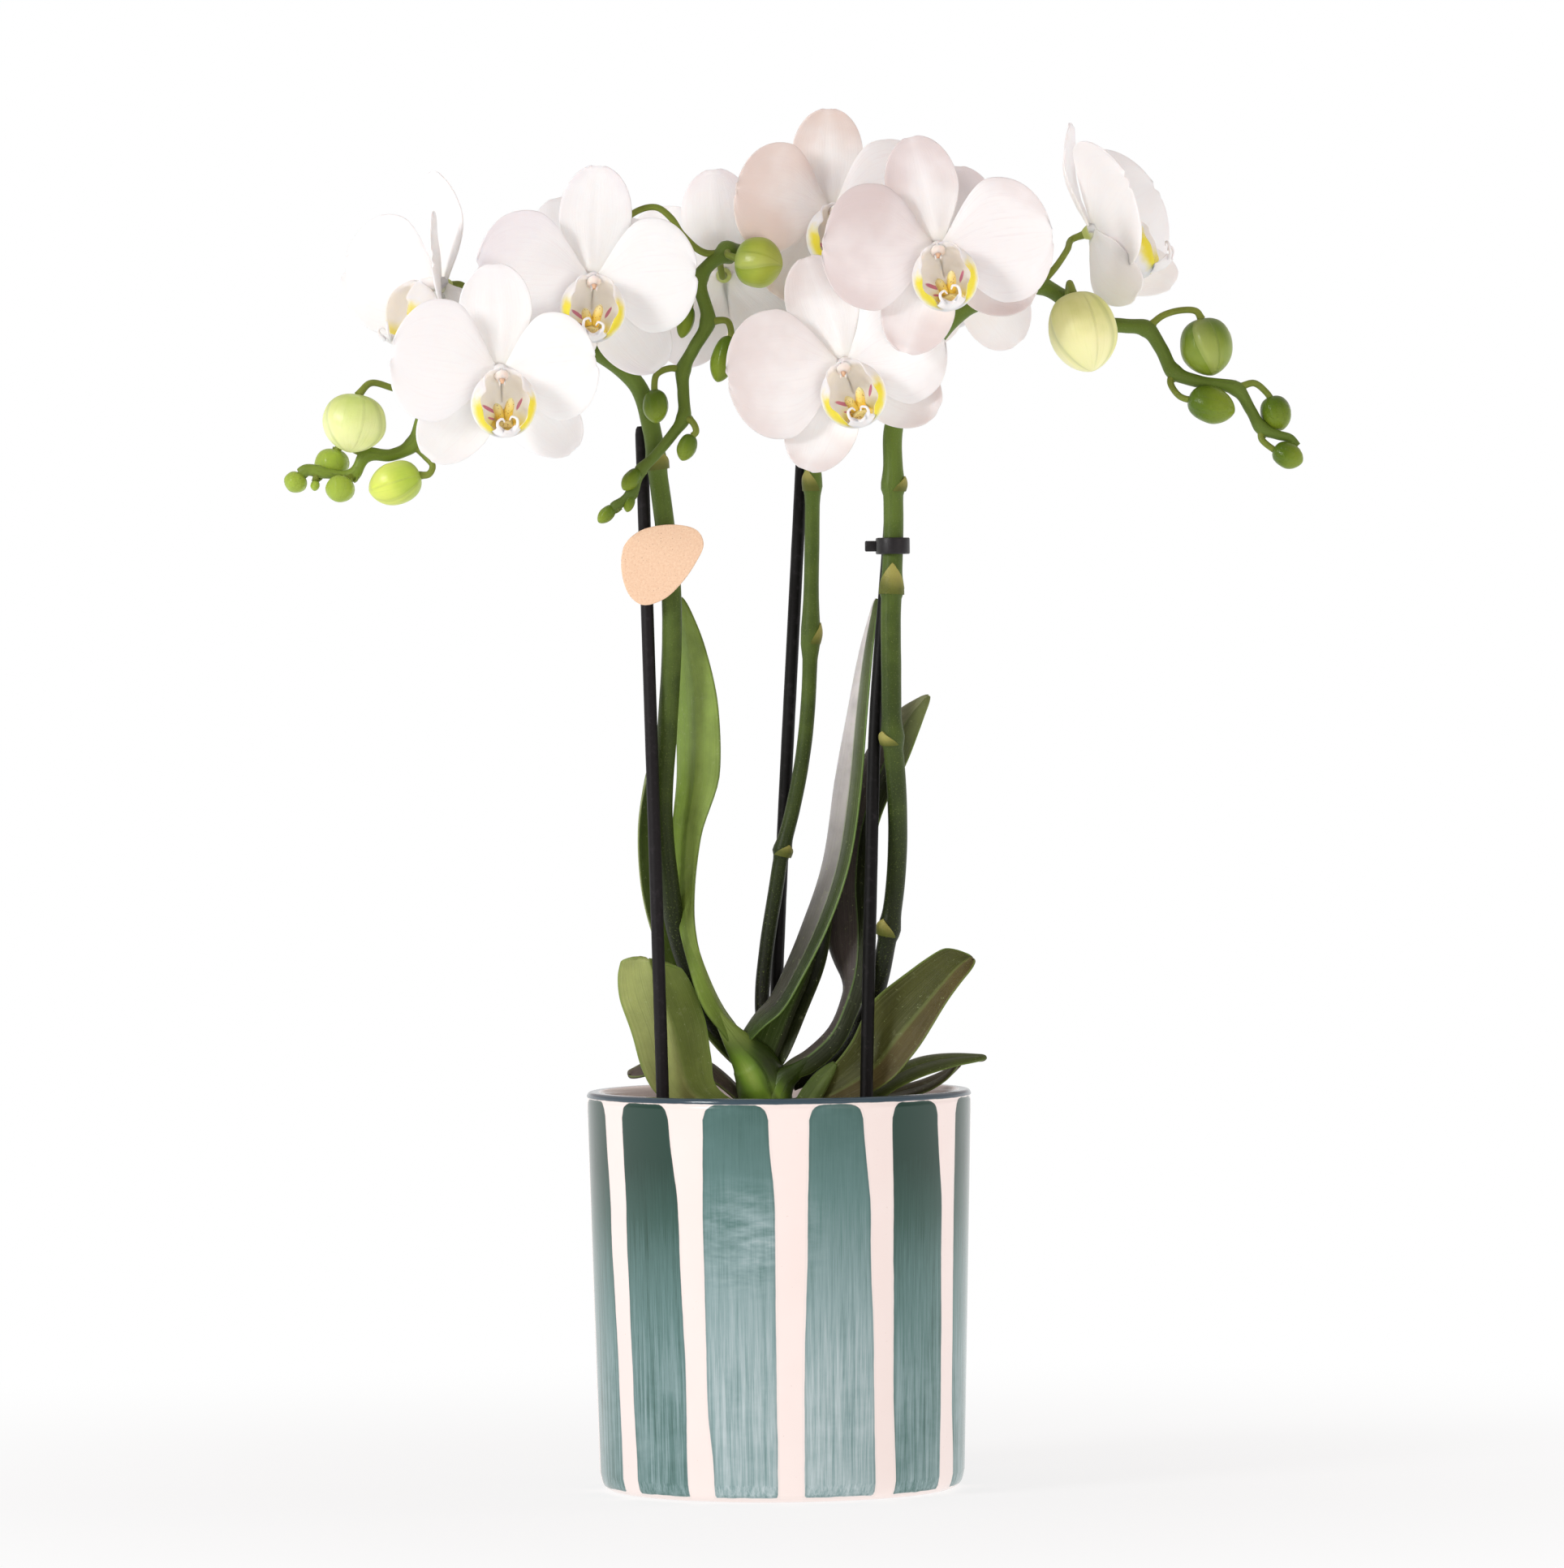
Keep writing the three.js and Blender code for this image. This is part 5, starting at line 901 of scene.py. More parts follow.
SPIKES = {
    "spike_left": {
        "line": [[-9.5, 3, 123], [-18, 3, 131.5], [-24.5, 2.6, 145], [-28.2, 1, 156.5],
                 [-30.5, -3, 171], [-32, -4.6, 191], [-30.5, -4, 213.5], [-29, -5.2, 236.5],
                 [-29, -7, 254.5], [-30.5, -7.8, 270.5], [-32.5, -8.5, 286.5], [-34, -9, 298],
                 [-38, -9, 310.5], [-49.5, -7, 320], [-60, -6, 323.5], [-71, -6, 323.5],
                 [-82.5, -7, 319], [-91.5, -8, 312], [-98, -9, 302], [-101, -9, 294.5],
                 [-107, -9, 291.5], [-114, -9, 291.5], [-118, -9, 286], [-125, -9, 286.5],
                 [-130.5, -9, 287.5], [-133, -9, 286.5]],
        "radii": [2.9, 2.9, 2.9, 2.8, 2.8, 2.6, 2.3, 2.1, 1.9, 1.7, 1.4, 1.1],
        "joints": [(0.405, 0.4, 5.0)],
        "stalks": [
            {"path": [[-60, -6, 323.5], [-57, -4, 331]], "bloom": "d"},
            {"path": [[-82.5, -7, 319], [-81, -16, 319], [-77.5, -30, 315]], "bloom": "b"},
            {"path": [[-78, -6.6, 321.5], [-80, 0, 326], [-83, 5, 331.5]], "bloom": "a"},
            {"path": [[-101, -9, 294.5], [-97.5, -10.5, 291], [-95.4, -12, 288.3], [-96.4, -13, 286]],
             "node": "bud_left_low"},
            {"path": [[-96, -8.6, 306], [-102, -9, 308.5], [-107, -10, 310.4], [-112.5, -12, 311.6]],
             "node": "bud_left_high"},
            {"path": [[-114, -9, 291.5], [-118.5, -7, 293.5], [-121, -5, 294], [-123.3, -4, 293]],
             "bud": [[-123.5, -4, 293.5], [-124.5, -3.5, 285], 4.9]},
            {"path": [[-118, -9, 286], [-119, -12, 284.8], [-120.5, -13, 285]],
             "bud": [[-120.6, -13, 285.4], [-122, -15.5, 278.5], 4.1]},
            {"path": [[-127.5, -9, 287.2], [-128.2, -9.8, 285.4]],
             "bud": [[-128.3, -10, 284.6], [-128.6, -10.3, 281.6], 1.3]},
            {"path": [[-131.5, -9, 287.2], [-133, -9, 286]],
             "bud": [[-132.6, -9, 286.6], [-135.5, -9, 281.5], 3.3]},
        ],
    },
    "spike_middle": {
        "line": [[-3.5, 5, 122], [-4.5, 7, 137], [-3, 8, 152.5], [-0.5, 8, 167.5], [1.5, 8, 179],
                 [4.5, 8, 190.5], [7.5, 8, 205.5], [9.3, 8, 222], [10.5, 8, 258], [11, 8, 282],
                 [11.5, 9, 304.5], [11, 9, 323], [8, 8, 338.5], [2, 5, 345.5], [-6, 0, 347.5],
                 [-12.5, -6, 347.5], [-20, -8, 340.5], [-18, -11, 328], [-22, -12, 320.5],
                 [-25, -12, 314.5], [-25, -14, 308], [-25, -17, 301], [-28, -18, 296.5],
                 [-33.5, -18, 290], [-37, -18, 286.5], [-39.5, -18, 280.5], [-42, -18, 278],
                 [-45, -18, 276]],
        "radii": [2.1, 2.1, 2.1, 2.1, 2.1, 2.1, 2.0, 1.9, 1.8, 1.7, 1.5, 1.3, 1.0],
        "joints": [(0.148, 0.6, 3.4), (0.277, 1.4, 6.0), (0.333, -0.6, 6.0)],
        "stalks": [
            {"path": [[11.5, 9, 308], [13, 2, 309], [17, -12, 313.5]], "bloom": "h"},
            {"path": [[8.5, 8.2, 337], [11, 10, 345], [15.5, 10, 355]], "bloom": "f"},
            {"path": [[-12.5, -6, 347.5], [-14, 0, 349], [-14.5, 7, 345]], "bloom": "e"},
            {"path": [[-12.5, -6, 347.5], [-19, -8, 347.5], [-25, -11, 352.5], [-28, -12.5, 357],
                      [-32, -12.5, 360], [-37, -12, 359.3], [-44, -9.5, 354], [-49, -9, 346.5]],
             "bloom": "c"},
            {"path": [[-12.5, -6, 347.5], [-12.3, -9.5, 347.4], [-12.2, -12, 346.6]],
             "node": "bud_middle"},
            {"path": [[-20, -8, 340.5], [-22.5, -9, 336.5], [-23, -10, 332]],
             "bud": [[-23, -10, 332.5], [-25.5, -11, 323.5], 2.3]},
            {"path": [[-18, -11, 328], [-12.5, -12, 328], [-11.5, -13, 323.5]],
             "bud": [[-11.8, -13, 323.8], [-15.5, -14, 311], 3.6]},
            {"path": [[-25, -12, 314.5], [-28.5, -13, 315], [-32.5, -16.2, 313], [-33, -18.2, 308.5]],
             "bud": [[-33, -18.2, 309], [-32.5, -18.4, 299.5], 3.6]},
            {"path": [[-25, -17, 301], [-22.5, -19, 299.8], [-21.5, -20, 297], [-22.8, -20, 295.8]],
             "bud": [[-22.8, -20, 296.3], [-25.5, -20, 289], 2.7]},
            {"path": [[-37, -18, 286.5], [-38, -19, 286.2]],
             "bud": [[-37.6, -18.8, 286.6], [-42, -20.5, 281], 2.3]},
            {"path": [[-39.5, -18, 280.5], [-40, -18, 279.5]],
             "bud": [[-39.8, -18, 280], [-41, -18, 274.8], 1.6]},
            {"path": [[-44, -18, 276.5], [-45.5, -18, 275.6]],
             "bud": [[-44.6, -18, 276.4], [-49, -18, 272], 2.0]},
        ],
    },
    "spike_right": {
        "line": [[3.5, 4, 114], [11.5, 5, 117.5], [18.5, 5, 123.5], [24.5, 3.5, 132], [28, 1.5, 141],
                 [30.5, -1, 152.5], [33, -2.5, 167.5], [34, -4.5, 182.5], [33.7, -9, 198],
                 [32.6, -12.2, 213], [32.5, -12.6, 230], [32.5, -12.2, 244], [33, -11.4, 257.5],
                 [33.5, -10.8, 270], [33.5, -10.6, 286], [33.8, -10.6, 298], [38.5, -11, 311],
                 [48, -12, 325.5], [57, -12, 333], [67, -10, 337.3], [75, -8, 337.5], [83, -7, 333],
                 [90.5, -7, 327], [98.5, -7, 326], [105, -7, 325], [109, -7, 319.5], [112.5, -7, 313],
                 [120, -7, 310], [130, -7, 308], [134, -7, 302], [137, -7, 297], [141.5, -7, 295],
                 [145, -7, 294], [147, -7, 291.8]],
        "radii": [2.6, 2.6, 2.7, 2.8, 2.9, 2.7, 2.4, 2.2, 2.0, 1.8, 1.5, 1.1],
        "joints": [(0.16, -0.7, 4.6), (0.268, -0.9, 4.0), (0.352, 0.0, 8.6), (0.415, 1.3, 4.2)],
        "stalks": [
            {"path": [[57, -12, 333], [54.5, -20, 339], [49.5, -29, 345]], "bloom": "g"},
            {"path": [[61, -11, 335], [62, -6, 339.5]], "bloom": "j"},
            {"path": [[75, -8, 337.5], [79.5, -6.5, 342.4], [83, -2.5, 347.5]], "bloom": "i"},
            {"path": [[83, -7, 333], [83, -11.5, 336], [83.3, -17.5, 337.6]], "node": "bud_right_large"},
            {"path": [[105, -7, 325], [109.5, -7, 328.7], [115, -7, 330.2], [119, -7, 329.8]],
             "node": "bud_right_upper"},
            {"path": [[112.5, -7, 313], [111.5, -8, 310], [114, -10, 306], [117, -11, 305]],
             "bud": [[116.4, -11, 305.4], [129.3, -12, 301.4], 5.2]},
            {"path": [[130, -7, 308], [135, -6, 309.6], [138.5, -5, 307], [139.8, -5, 305.2]],
             "bud": [[139.6, -5, 305.8], [142.8, -5, 296.3], 4.4]},
            {"path": [[137, -7, 297], [137, -8, 293.8], [140.8, -9, 290.6]],
             "bud": [[140.2, -9, 291], [148.3, -10, 287.3], 3.7]},
        ],
    },
}
PEDICEL = 1.15
# How far behind a bloom's heart its stalk ends
RECEPTACLE = 3.0
# Where round a bud each sepal's free edge comes, and how far the sepals twist, in degrees
FREE_EDGE = 0.88
BUD_TWIST = 34
# Rings for each span of a stem and of a stalk, and for a bud, and the grid of a scale
STEM_STEPS = 9
STALK_STEPS = 10
BUD_STEPS = 40
SCALE_STEPS = 10


def bloom_axes(bloom):
    """Which way a bloom's right, its top and its face point."""
    yaw, pitch = math.radians(bloom["yaw"]), math.radians(bloom["pitch"])
    right = Vector((math.cos(yaw), math.sin(yaw), 0))
    facing = Vector((math.sin(yaw) * math.cos(pitch), -math.cos(yaw) * math.cos(pitch), math.sin(pitch)))
    return right, facing.cross(right), facing


def bud_swell(t):
    if t < 0.5:
        return max(0.0, 1 - (1 - t / 0.5) ** 2.2) ** (1 / 2.4)
    return max(0.0, 1 - ((t - 0.5) / 0.5) ** 2.0) ** (1 / 1.6)


def add_bud(form, base, tip, radius, mark, start=52):
    """Three sepals overlap like a furled flag: each swells towards its free edge and drops at it."""
    def folded(t, turn):
        off = (math.degrees(turn) + start + BUD_TWIST * t) / 120 % 1.0
        step = off ** 1.6 if off < FREE_EDGE else (FREE_EDGE ** 1.6) * (1 - off) / (1 - FREE_EDGE)
        ripple = 0.04 * noise.noise(Vector((math.cos(turn), math.sin(turn), t * 2.5 + start)))
        return 1 + (0.1 * step - 0.05 + ripple) * math.sin(math.pi * t) ** 0.5

    rings = [0.5 - 0.5 * math.cos(math.pi * k / BUD_STEPS) for k in range(1, BUD_STEPS)]
    rod(form, Line([base, tip]), [(t, radius * bud_swell(t)) for t in rings], 72, mark, folded)


def add_scale(form, line, t, radius, turn, length, width, mark):
    """A dry pointed scale that clasps the stem from a joint upwards."""
    ahead = line.heading(t)
    centre = line.at(t)
    front = Vector((math.sin(turn), -math.cos(turn), 0))
    front = (front - ahead * front.dot(ahead)).normalized()
    across = ahead.cross(front)
    grid = []
    for i in range(SCALE_STEPS + 1):
        s = i / SCALE_STEPS
        wrap = width * (1 - s ** 1.3) + 0.04
        row = []
        for j in range(SCALE_STEPS + 1):
            a = wrap * (2 * j / SCALE_STEPS - 1)
            r = radius + 0.32 + 0.55 * math.sin(math.pi * s) * math.cos(a) ** 2
            out = centre + front * (r * math.cos(a)) + across * (r * math.sin(a))
            row.append(out + ahead * (length * s - 1.2))
        grid.append(row)
    blade(form, grid, lambda s, v: 0.45, lambda s, v, face: (s, v, mark))


# The number that marks each part of a spike for its finish
STEM, SMALL_SCALE, STALK, SCALE, BUD = 0.0, 0.6, 1.0, 2.0, 3.0


def stem_rings(spike, line):
    """A stem swells just above each joint and where a side stalk leaves it."""
    count = len(spike["line"]) - 1
    rings = []
    for k in range(count * STEM_STEPS + 1):
        t = k / (count * STEM_STEPS)
        radius = along(spike["radii"], t)
        for place, *_ in spike["joints"]:
            off = (t - place) * count
            radius += 0.75 * math.exp(-(off / (0.09 if off < 0 else 0.22)) ** 2)
        for stalk in spike["stalks"]:
            near = (line.at(t) - Vector(stalk["path"][0])).length
            radius += 0.5 * math.exp(-(near / 2.2) ** 2)
        radius *= 1 + 0.02 * noise.noise(Vector((t * 70, 0, 0)))
        rings.append((t, radius))
    return rings


def stalk_path(stalk):
    """A side stalk runs on to the back of its bloom or to the foot of its bud."""
    path = [Vector(p) for p in stalk["path"]]
    if "bloom" in stalk:
        bloom = BLOOMS[stalk["bloom"]]
        heart, facing = Vector(bloom["heart"]), bloom_axes(bloom)[2]
        return path + [heart - facing * (RECEPTACLE + 3.5), heart - facing * (RECEPTACLE - 0.4)]
    if "node" in stalk:
        base, tip = (Vector(p) for p in LARGE_BUDS[stalk["node"]][:2])
        return path + [base + (tip - base).normalized() * 0.3]
    base, tip = (Vector(p) for p in stalk["bud"][:2])
    return path + [base + (tip - base) * 0.06]


def add_stalk(form, stalk):
    path = stalk_path(stalk)
    spans = len(path) - 1
    steps = STALK_STEPS * len(path)
    way = Line(path)
    rings = []
    for k in range(steps + 1):
        t = k / steps
        flare = 0.75 * math.exp(-(t * spans / 0.3) ** 2) + 0.25 * math.exp(-((1 - t) / 0.08) ** 2)
        rings.append((t, PEDICEL * (0.92 - 0.12 * math.sin(math.pi * t)) + flare * 0.6))
    rod(form, way, rings, 16, STALK)
    add_scale(form, way, 0.12 / spans, PEDICEL * 0.95, 2.4, 3.4, 1.1, SMALL_SCALE)
    if "bud" in stalk:
        base, tip, radius = stalk["bud"]
        add_bud(form, base, tip, radius, BUD)


def spike_finish(name):
    skin = Finish(name)
    t, turn, mark = skin.place()
    spot = skin.spot()
    dots = skin.noise(spot, 2.4, 1.5).between(0.6, 0.72)
    shade = skin.noise(spot, 0.09, 3.0)
    spot_x, _, rise = skin.parts(spot)
    painted_light_left = 1 - spot_x.between(-100, -40)
    # Painted shade darkens the stems towards their feet among the leaves, and painted light makes the
    # left of the plant a paler green
    green = skin.ramp(
        (rise - 120) / 200, (0.1, tint(19, 23, 8)), (0.45, tint(50, 65, 22)), (0.75, tint(74, 94, 33)),
        (0.9, tint(98, 120, 44)))
    green = skin.mix(painted_light_left * 0.7, green, tint(136, 158, 60))
    green = skin.mix(shade.between(0.35, 0.7) * rise.between(150, 250) * 0.5, green, tint(98, 118, 48))
    green = skin.mix(dots * 0.35, green, tint(124, 140, 72))
    stalk_tone = skin.mix(shade, tint(96, 114, 34), tint(146, 156, 68))
    ripe = (t + (shade - 0.5) * 0.6).between(0.1, 0.95)
    bud_tone = skin.mix(ripe, tint(82, 108, 22), tint(124, 144, 40))
    # Painted light: the buds on the left of the plant are painted paler
    bud_tone = skin.mix(painted_light_left * 0.8, bud_tone, tint(170, 194, 74))
    dry = (t + shade - 0.5).between(0.1, 0.9)
    scale_tone = skin.mix(dry, tint(92, 98, 36), tint(162, 156, 84))
    on_bud = mark.between(SCALE + 0.2, BUD - 0.2)
    tone = skin.mix(mark.between(STEM + 0.2, STALK - 0.1), green, stalk_tone)
    tone = skin.mix(mark.between(STALK + 0.2, SCALE - 0.2), tone, scale_tone)
    tone = skin.mix(on_bud, tone, bud_tone)
    ridges = skin.noise(skin.vector(turn * 3.2, t * 40, 0.0), 1.0, 2.0)
    skin.surface(
        tone, 0.38 + shade * 0.2 - on_bud * 0.2, dots * 0.06 + ridges * 0.08,
        (0.08, (0.6, 1.0, 0.15), 0.0012), Specular_IOR_Level=0.3)
    return skin


for name, spike in SPIKES.items():
    stalks = Form()
    line = Line(spike["line"])
    rod(stalks, line, stem_rings(spike, line), 24, STEM)
    for place, turn, length in spike["joints"]:
        radius = along(spike["radii"], place) + 0.25
        add_scale(stalks, line, place, radius, turn, length, 1.35, SCALE)
    for stalk in spike["stalks"]:
        add_stalk(stalks, stalk)
    stalks.made(name, "stem", [spike_finish(name + " skin")])

# Clips
# Moulded black plastic bands that hold a spike against its stake. Each is one closed loop round
# both, with a short pinch tab at its left end.
CLIPS = {
    "clip_left": ("spike_left", "stake_left", 261.0),
    "clip_middle": ("spike_middle", "stake_middle", 297.0),
    "clip_right": ("spike_right", "stake_right", 264.8),
}
CLIP_WALL = 1.3
CLIP_HALF_HEIGHT = 2.3
# Room between a band and the stem or the cane in it
CLIP_ROOM = 0.5
CLIP_BEND_STEPS = 24
TAB_SIZE = (4, 2, 3)
TAB_BEVEL = 0.4
# The first part of each spike only climbs, and which of its radii holds there
CLIMBING = 0.45
RADIUS_AT_CLIP = 4


def at_height(line, height, up_to):
    low, high = 0.0, up_to
    for _ in range(30):
        middle = (low + high) / 2
        if line.at(middle).z < height:
            low = middle
        else:
            high = middle
    return line.at(low)


clip_skin = Finish("black moulded clip")
spot = clip_skin.spot()
haze = clip_skin.noise(spot, 0.8, 3.0)
clip_skin.surface(
    clip_skin.mix(haze, tint(12, 12, 14), tint(34, 32, 35)), 0.3 + haze * 0.2,
    clip_skin.noise(spot, 5.0, 2.0) * 0.03)
band = rounded([
    (0.0, -CLIP_HALF_HEIGHT, 0.35), (CLIP_WALL, -CLIP_HALF_HEIGHT, 0.45),
    (CLIP_WALL, CLIP_HALF_HEIGHT, 0.45), (0.0, CLIP_HALF_HEIGHT, 0.35),
    (0.0, -CLIP_HALF_HEIGHT, 0)], 4)[:-1]
for name, (spike_name, stake_name, height) in CLIPS.items():
    spike = SPIKES[spike_name]
    stem = at_height(Line(spike["line"]), height, CLIMBING)
    cane = at_height(Line(STAKES[stake_name]), height, 1.0)
    stem_radius, cane_radius = spike["radii"][RADIUS_AT_CLIP] + CLIP_ROOM, STAKE_RADIUS + CLIP_ROOM
    heading = math.atan2(cane.y - stem.y, cane.x - stem.x)
    ends = ((stem, stem_radius, heading + math.pi / 2), (cane, cane_radius, heading - math.pi / 2))
    points, faces = [], []
    for centre, radius, start in ends:
        for k in range(CLIP_BEND_STEPS + 1):
            a = start + math.pi * k / CLIP_BEND_STEPS
            way = Vector((math.cos(a), math.sin(a)))
            for out, up in band:
                wall = Vector((centre.x, centre.y)) + way * (radius + out)
                points.append(Vector((wall.x, wall.y, height + up)))
    n = len(band)
    for k in range(0, len(points), n):
        after = (k + n) % len(points)
        for m in range(n):
            past = (m + 1) % n
            faces.append((k + m, k + past, after + past, after + m))
    clip = Form()
    clip.add(points, [(0, 0, 0)] * len(points), faces)
    left = min(stem.x - stem_radius, cane.x - cane_radius) - CLIP_WALL
    tab_y = stem.y if stem.x < cane.x else cane.y
    tab = bmesh.new()
    bmesh.ops.create_cube(tab, size=1.0)
    for v in tab.verts:
        x, y, z = (c * size for c, size in zip(v.co, TAB_SIZE))
        v.co = Vector((left - 1 + x, tab_y + y, height + z))
    bmesh.ops.bevel(tab, geom=tab.edges, offset=TAB_BEVEL, segments=3, affect="EDGES", profile=0.5)
    tab.verts.index_update()
    clip.add([v.co.copy() for v in tab.verts], [(0, 0, 0)] * len(tab.verts),
             [[v.index for v in f.verts] for f in tab.faces])
    tab.free()
    clip.made(name, "black_plastic", [clip_skin])

# Tag
# A small shield of bare kraft card, die cut with a slightly softened edge, that leans on the front
# of the left clip.
TAG_OUTLINE = [[-11.5, 2.3], [-11.5, -1.4], [-10.4, -6.2], [-8.6, -9.3], [-5.4, -11.2], [0.3, -9.6],
               [5, -5.5], [9.3, 0.4], [11.6, 5.8], [9.8, 9.6], [3.4, 11.3], [-4.8, 10.2], [-8.6, 8],
               [-10.7, 5.4]]
TAG_POINTS = 120
TAG_X, TAG_Z = -31.3, 260
TAG_CARD = 0.8
TAG_GAP = 0.35
# How much of the outline each ring takes, on either face and round the rim, with its depth
TAG_SHARES = [0.25, 0.5, 0.75, 0.9]
TAG_RIM = [(0.97, 0.0), (0.992, 0.04), (1.0, 0.14), (1.0, 0.66), (0.992, 0.76), (0.97, TAG_CARD)]

tag_line = Line([(x, 0, z) for x, z in [*TAG_OUTLINE, TAG_OUTLINE[0]]])
left_stem = SPIKES["spike_left"]
tag_front = at_height(Line(left_stem["line"]), CLIPS["clip_left"][2], CLIMBING).y
tag_front = tag_front - left_stem["radii"][RADIUS_AT_CLIP] - CLIP_ROOM - CLIP_WALL - TAG_GAP
rim_points = [tag_line.at(k / TAG_POINTS) for k in range(TAG_POINTS)]
stack = [(share, 0.0) for share in TAG_SHARES] + TAG_RIM
stack += [(share, TAG_CARD) for share in TAG_SHARES[::-1]]
points, places, faces = [], [], []
for share, depth in stack:
    for p in rim_points:
        points.append(Vector((TAG_X + p.x * share, tag_front - TAG_CARD + depth, TAG_Z + p.z * share)))
        places.append((p.x * share, p.z * share, depth))
n = TAG_POINTS
for k in range(len(stack) - 1):
    for m in range(n):
        a, b = k * n + m, k * n + (m + 1) % n
        faces.append((a, b, b + n, a + n))
faces.append(tuple(range(n))[::-1])
faces.append(tuple((len(stack) - 1) * n + m for m in range(n)))
tag = Form()
tag.add(points, places, faces)
card = Finish("kraft card")
spot = card.spot()
pulp = card.noise(spot, 1.6, 5.0, 0.75)
drawn_out = card.node("VectorMath", {"operation": "MULTIPLY"}, {0: spot, 1: (0.7, 1.0, 4.5)})
fibre = card.noise(drawn_out, 1.0, 3.0, 0.6)
flecks = card.noise(spot, 2.2, 1.0).between(0.68, 0.74)
kraft = card.mix(pulp.between(0.2, 0.8), tint(232, 190, 154), tint(250, 220, 192))
kraft = card.mix(fibre.between(0.5, 0.8) * 0.4, kraft, tint(248, 222, 198))
kraft = card.mix(flecks * 0.6, kraft, tint(160, 112, 82))
card.surface(kraft, 0.82 + pulp * 0.1, pulp * 0.08 + fibre * 0.05)
tag.made("tag", "card", [card])

# Blooms
# White moth orchid flowers: three oval sepals behind, two broad round petals in front, thin, waxy
# and faintly veined, joined at a short stalk end, with the white column standing over the lip.
USUAL = {"angles": [0, 77, 142, -142, -77], "lengths": [30, 31, 29, 29, 31], "turns": [0, 0, 0, 0, 0],
         "cups": [0, 0, 0]}
PETAL_WIDTH = 17.0
SEPAL_WIDTH = 10.2
PETAL_BROADEST = 0.52
SEPAL_BROADEST = 0.55
ROOT_REACH = 1.6
USUAL_PETAL = 31


def petal_width(t):
    if t < PETAL_BROADEST:
        return 0.1 + 0.9 * math.sin(math.pi / 2 * (t / PETAL_BROADEST) ** 1.1)
    return math.sqrt(max(0.0, 1 - ((t - PETAL_BROADEST) / 0.485) ** 2.4))


def sepal_width(t):
    if t < SEPAL_BROADEST:
        return 0.26 + 0.74 * math.sin(math.pi / 2 * (t / SEPAL_BROADEST) ** 1.2)
    return math.sqrt(max(0.0, 1 - ((t - SEPAL_BROADEST) / 0.458) ** 2))


def petal_point(t, v, length, sweep, twist, seed):
    """How far forth, aside and up a spot on a petal lies: bowed, waved and a little uneven."""
    reach = ROOT_REACH + (length - ROOT_REACH) * t * (1 + 0.03 * noise.noise(Vector((v * 1.6, seed, 4))))
    width = PETAL_WIDTH * length * petal_width(t) / USUAL_PETAL
    width *= 1 + 0.07 * noise.noise(Vector((t * 1.5, math.copysign(3, v), seed + 9)))
    lean, tilt = math.radians(sweep), math.radians(twist)
    lift = 0.5 + reach * math.sin(lean) + 0.8 * math.sin(math.pi * t) + 1.3 * t * t
    lift -= 2.2 * (v * width / PETAL_WIDTH) ** 2
    lift -= 1.0 * max(0.0, v) ** 2 * math.exp(-((t - 0.12) / 0.16) ** 2)
    lift -= v * width * math.sin(tilt)
    wave = 0.9 * noise.noise(Vector((t * 2.2, v * 1.6, seed)))
    lift += wave * (0.25 + abs(v) ** 2 * 0.75) * min(1, t * 2)
    lift += 0.3 * math.sin(7 * v + seed) * t ** 3
    lift += 0.35 * math.cos(5 * v + seed * 2) * (1 - t) ** 2 * min(1, t * 6)
    lift -= 0.35 * math.exp(-(v * width / 1.2) ** 2) * (1 - t) * min(1, t * 4)
    return reach * math.cos(lean), v * width * math.cos(tilt), lift


def sepal_point(t, v, length, cup, twist, seed):
    reach = ROOT_REACH + (length - ROOT_REACH) * t
    width = SEPAL_WIDTH * sepal_width(t)
    bow = 3.2 * math.sin(math.pi * min(1, t * 1.05)) - 1.6 * t * t - 0.8 * v * v * math.sin(math.pi * t)
    lift = reach * math.sin(math.radians(cup)) - 0.7 - 0.6 * t - bow * min(1, 0.4 + t)
    lift += v * width * math.sin(twist)
    lift += 0.5 * noise.noise(Vector((t * 2.4, v * 1.5, seed + 20))) * (0.2 + abs(v)) * min(1, t * 2)
    lift += 0.7 * math.cos(4.4 * v + math.sin(seed) * 0.8) * (1 - t) ** 1.5 * min(1, t * 5)
    lift -= 0.45 * math.exp(-(v * width / 0.9) ** 2) * (1 - t ** 2) * min(1, t * 4)
    return reach * math.cos(math.radians(cup)), v * width * math.cos(twist), lift


TEPAL_ROWS = 30
TEPAL_COLUMNS = 26


def add_tepal(form, angle, point_at, put, mark, broad):
    turn = math.radians(90 - angle)
    ahead = Vector((math.cos(turn), math.sin(turn), 0))
    across = Vector((-math.sin(turn), math.cos(turn), 0))
    if broad and math.cos(turn) < 0:
        across = -across
    grid = []
    for i in range(TEPAL_ROWS + 1):
        t = math.sin(math.pi / 2 * i / TEPAL_ROWS) ** 0.9
        row = []
        for j in range(TEPAL_COLUMNS + 1):
            v = math.sin(math.pi / 2 * (2 * j / TEPAL_COLUMNS - 1))
            forth, side, lift = point_at(min(t, 0.9985), v)
            row.append(put(ahead * forth + across * side + Vector((0, 0, lift))))
        grid.append(row)

    def placed(s, v, face):
        return (math.sin(math.pi / 2 * s) ** 0.9, math.sin(math.pi / 2 * v), mark)

    def thickness(s, v):
        return 0.7 * math.sqrt(max(0.02, 1 - abs(v) ** 6)) * (1 - 0.7 * s ** 8)

    blade(form, grid, thickness, placed)
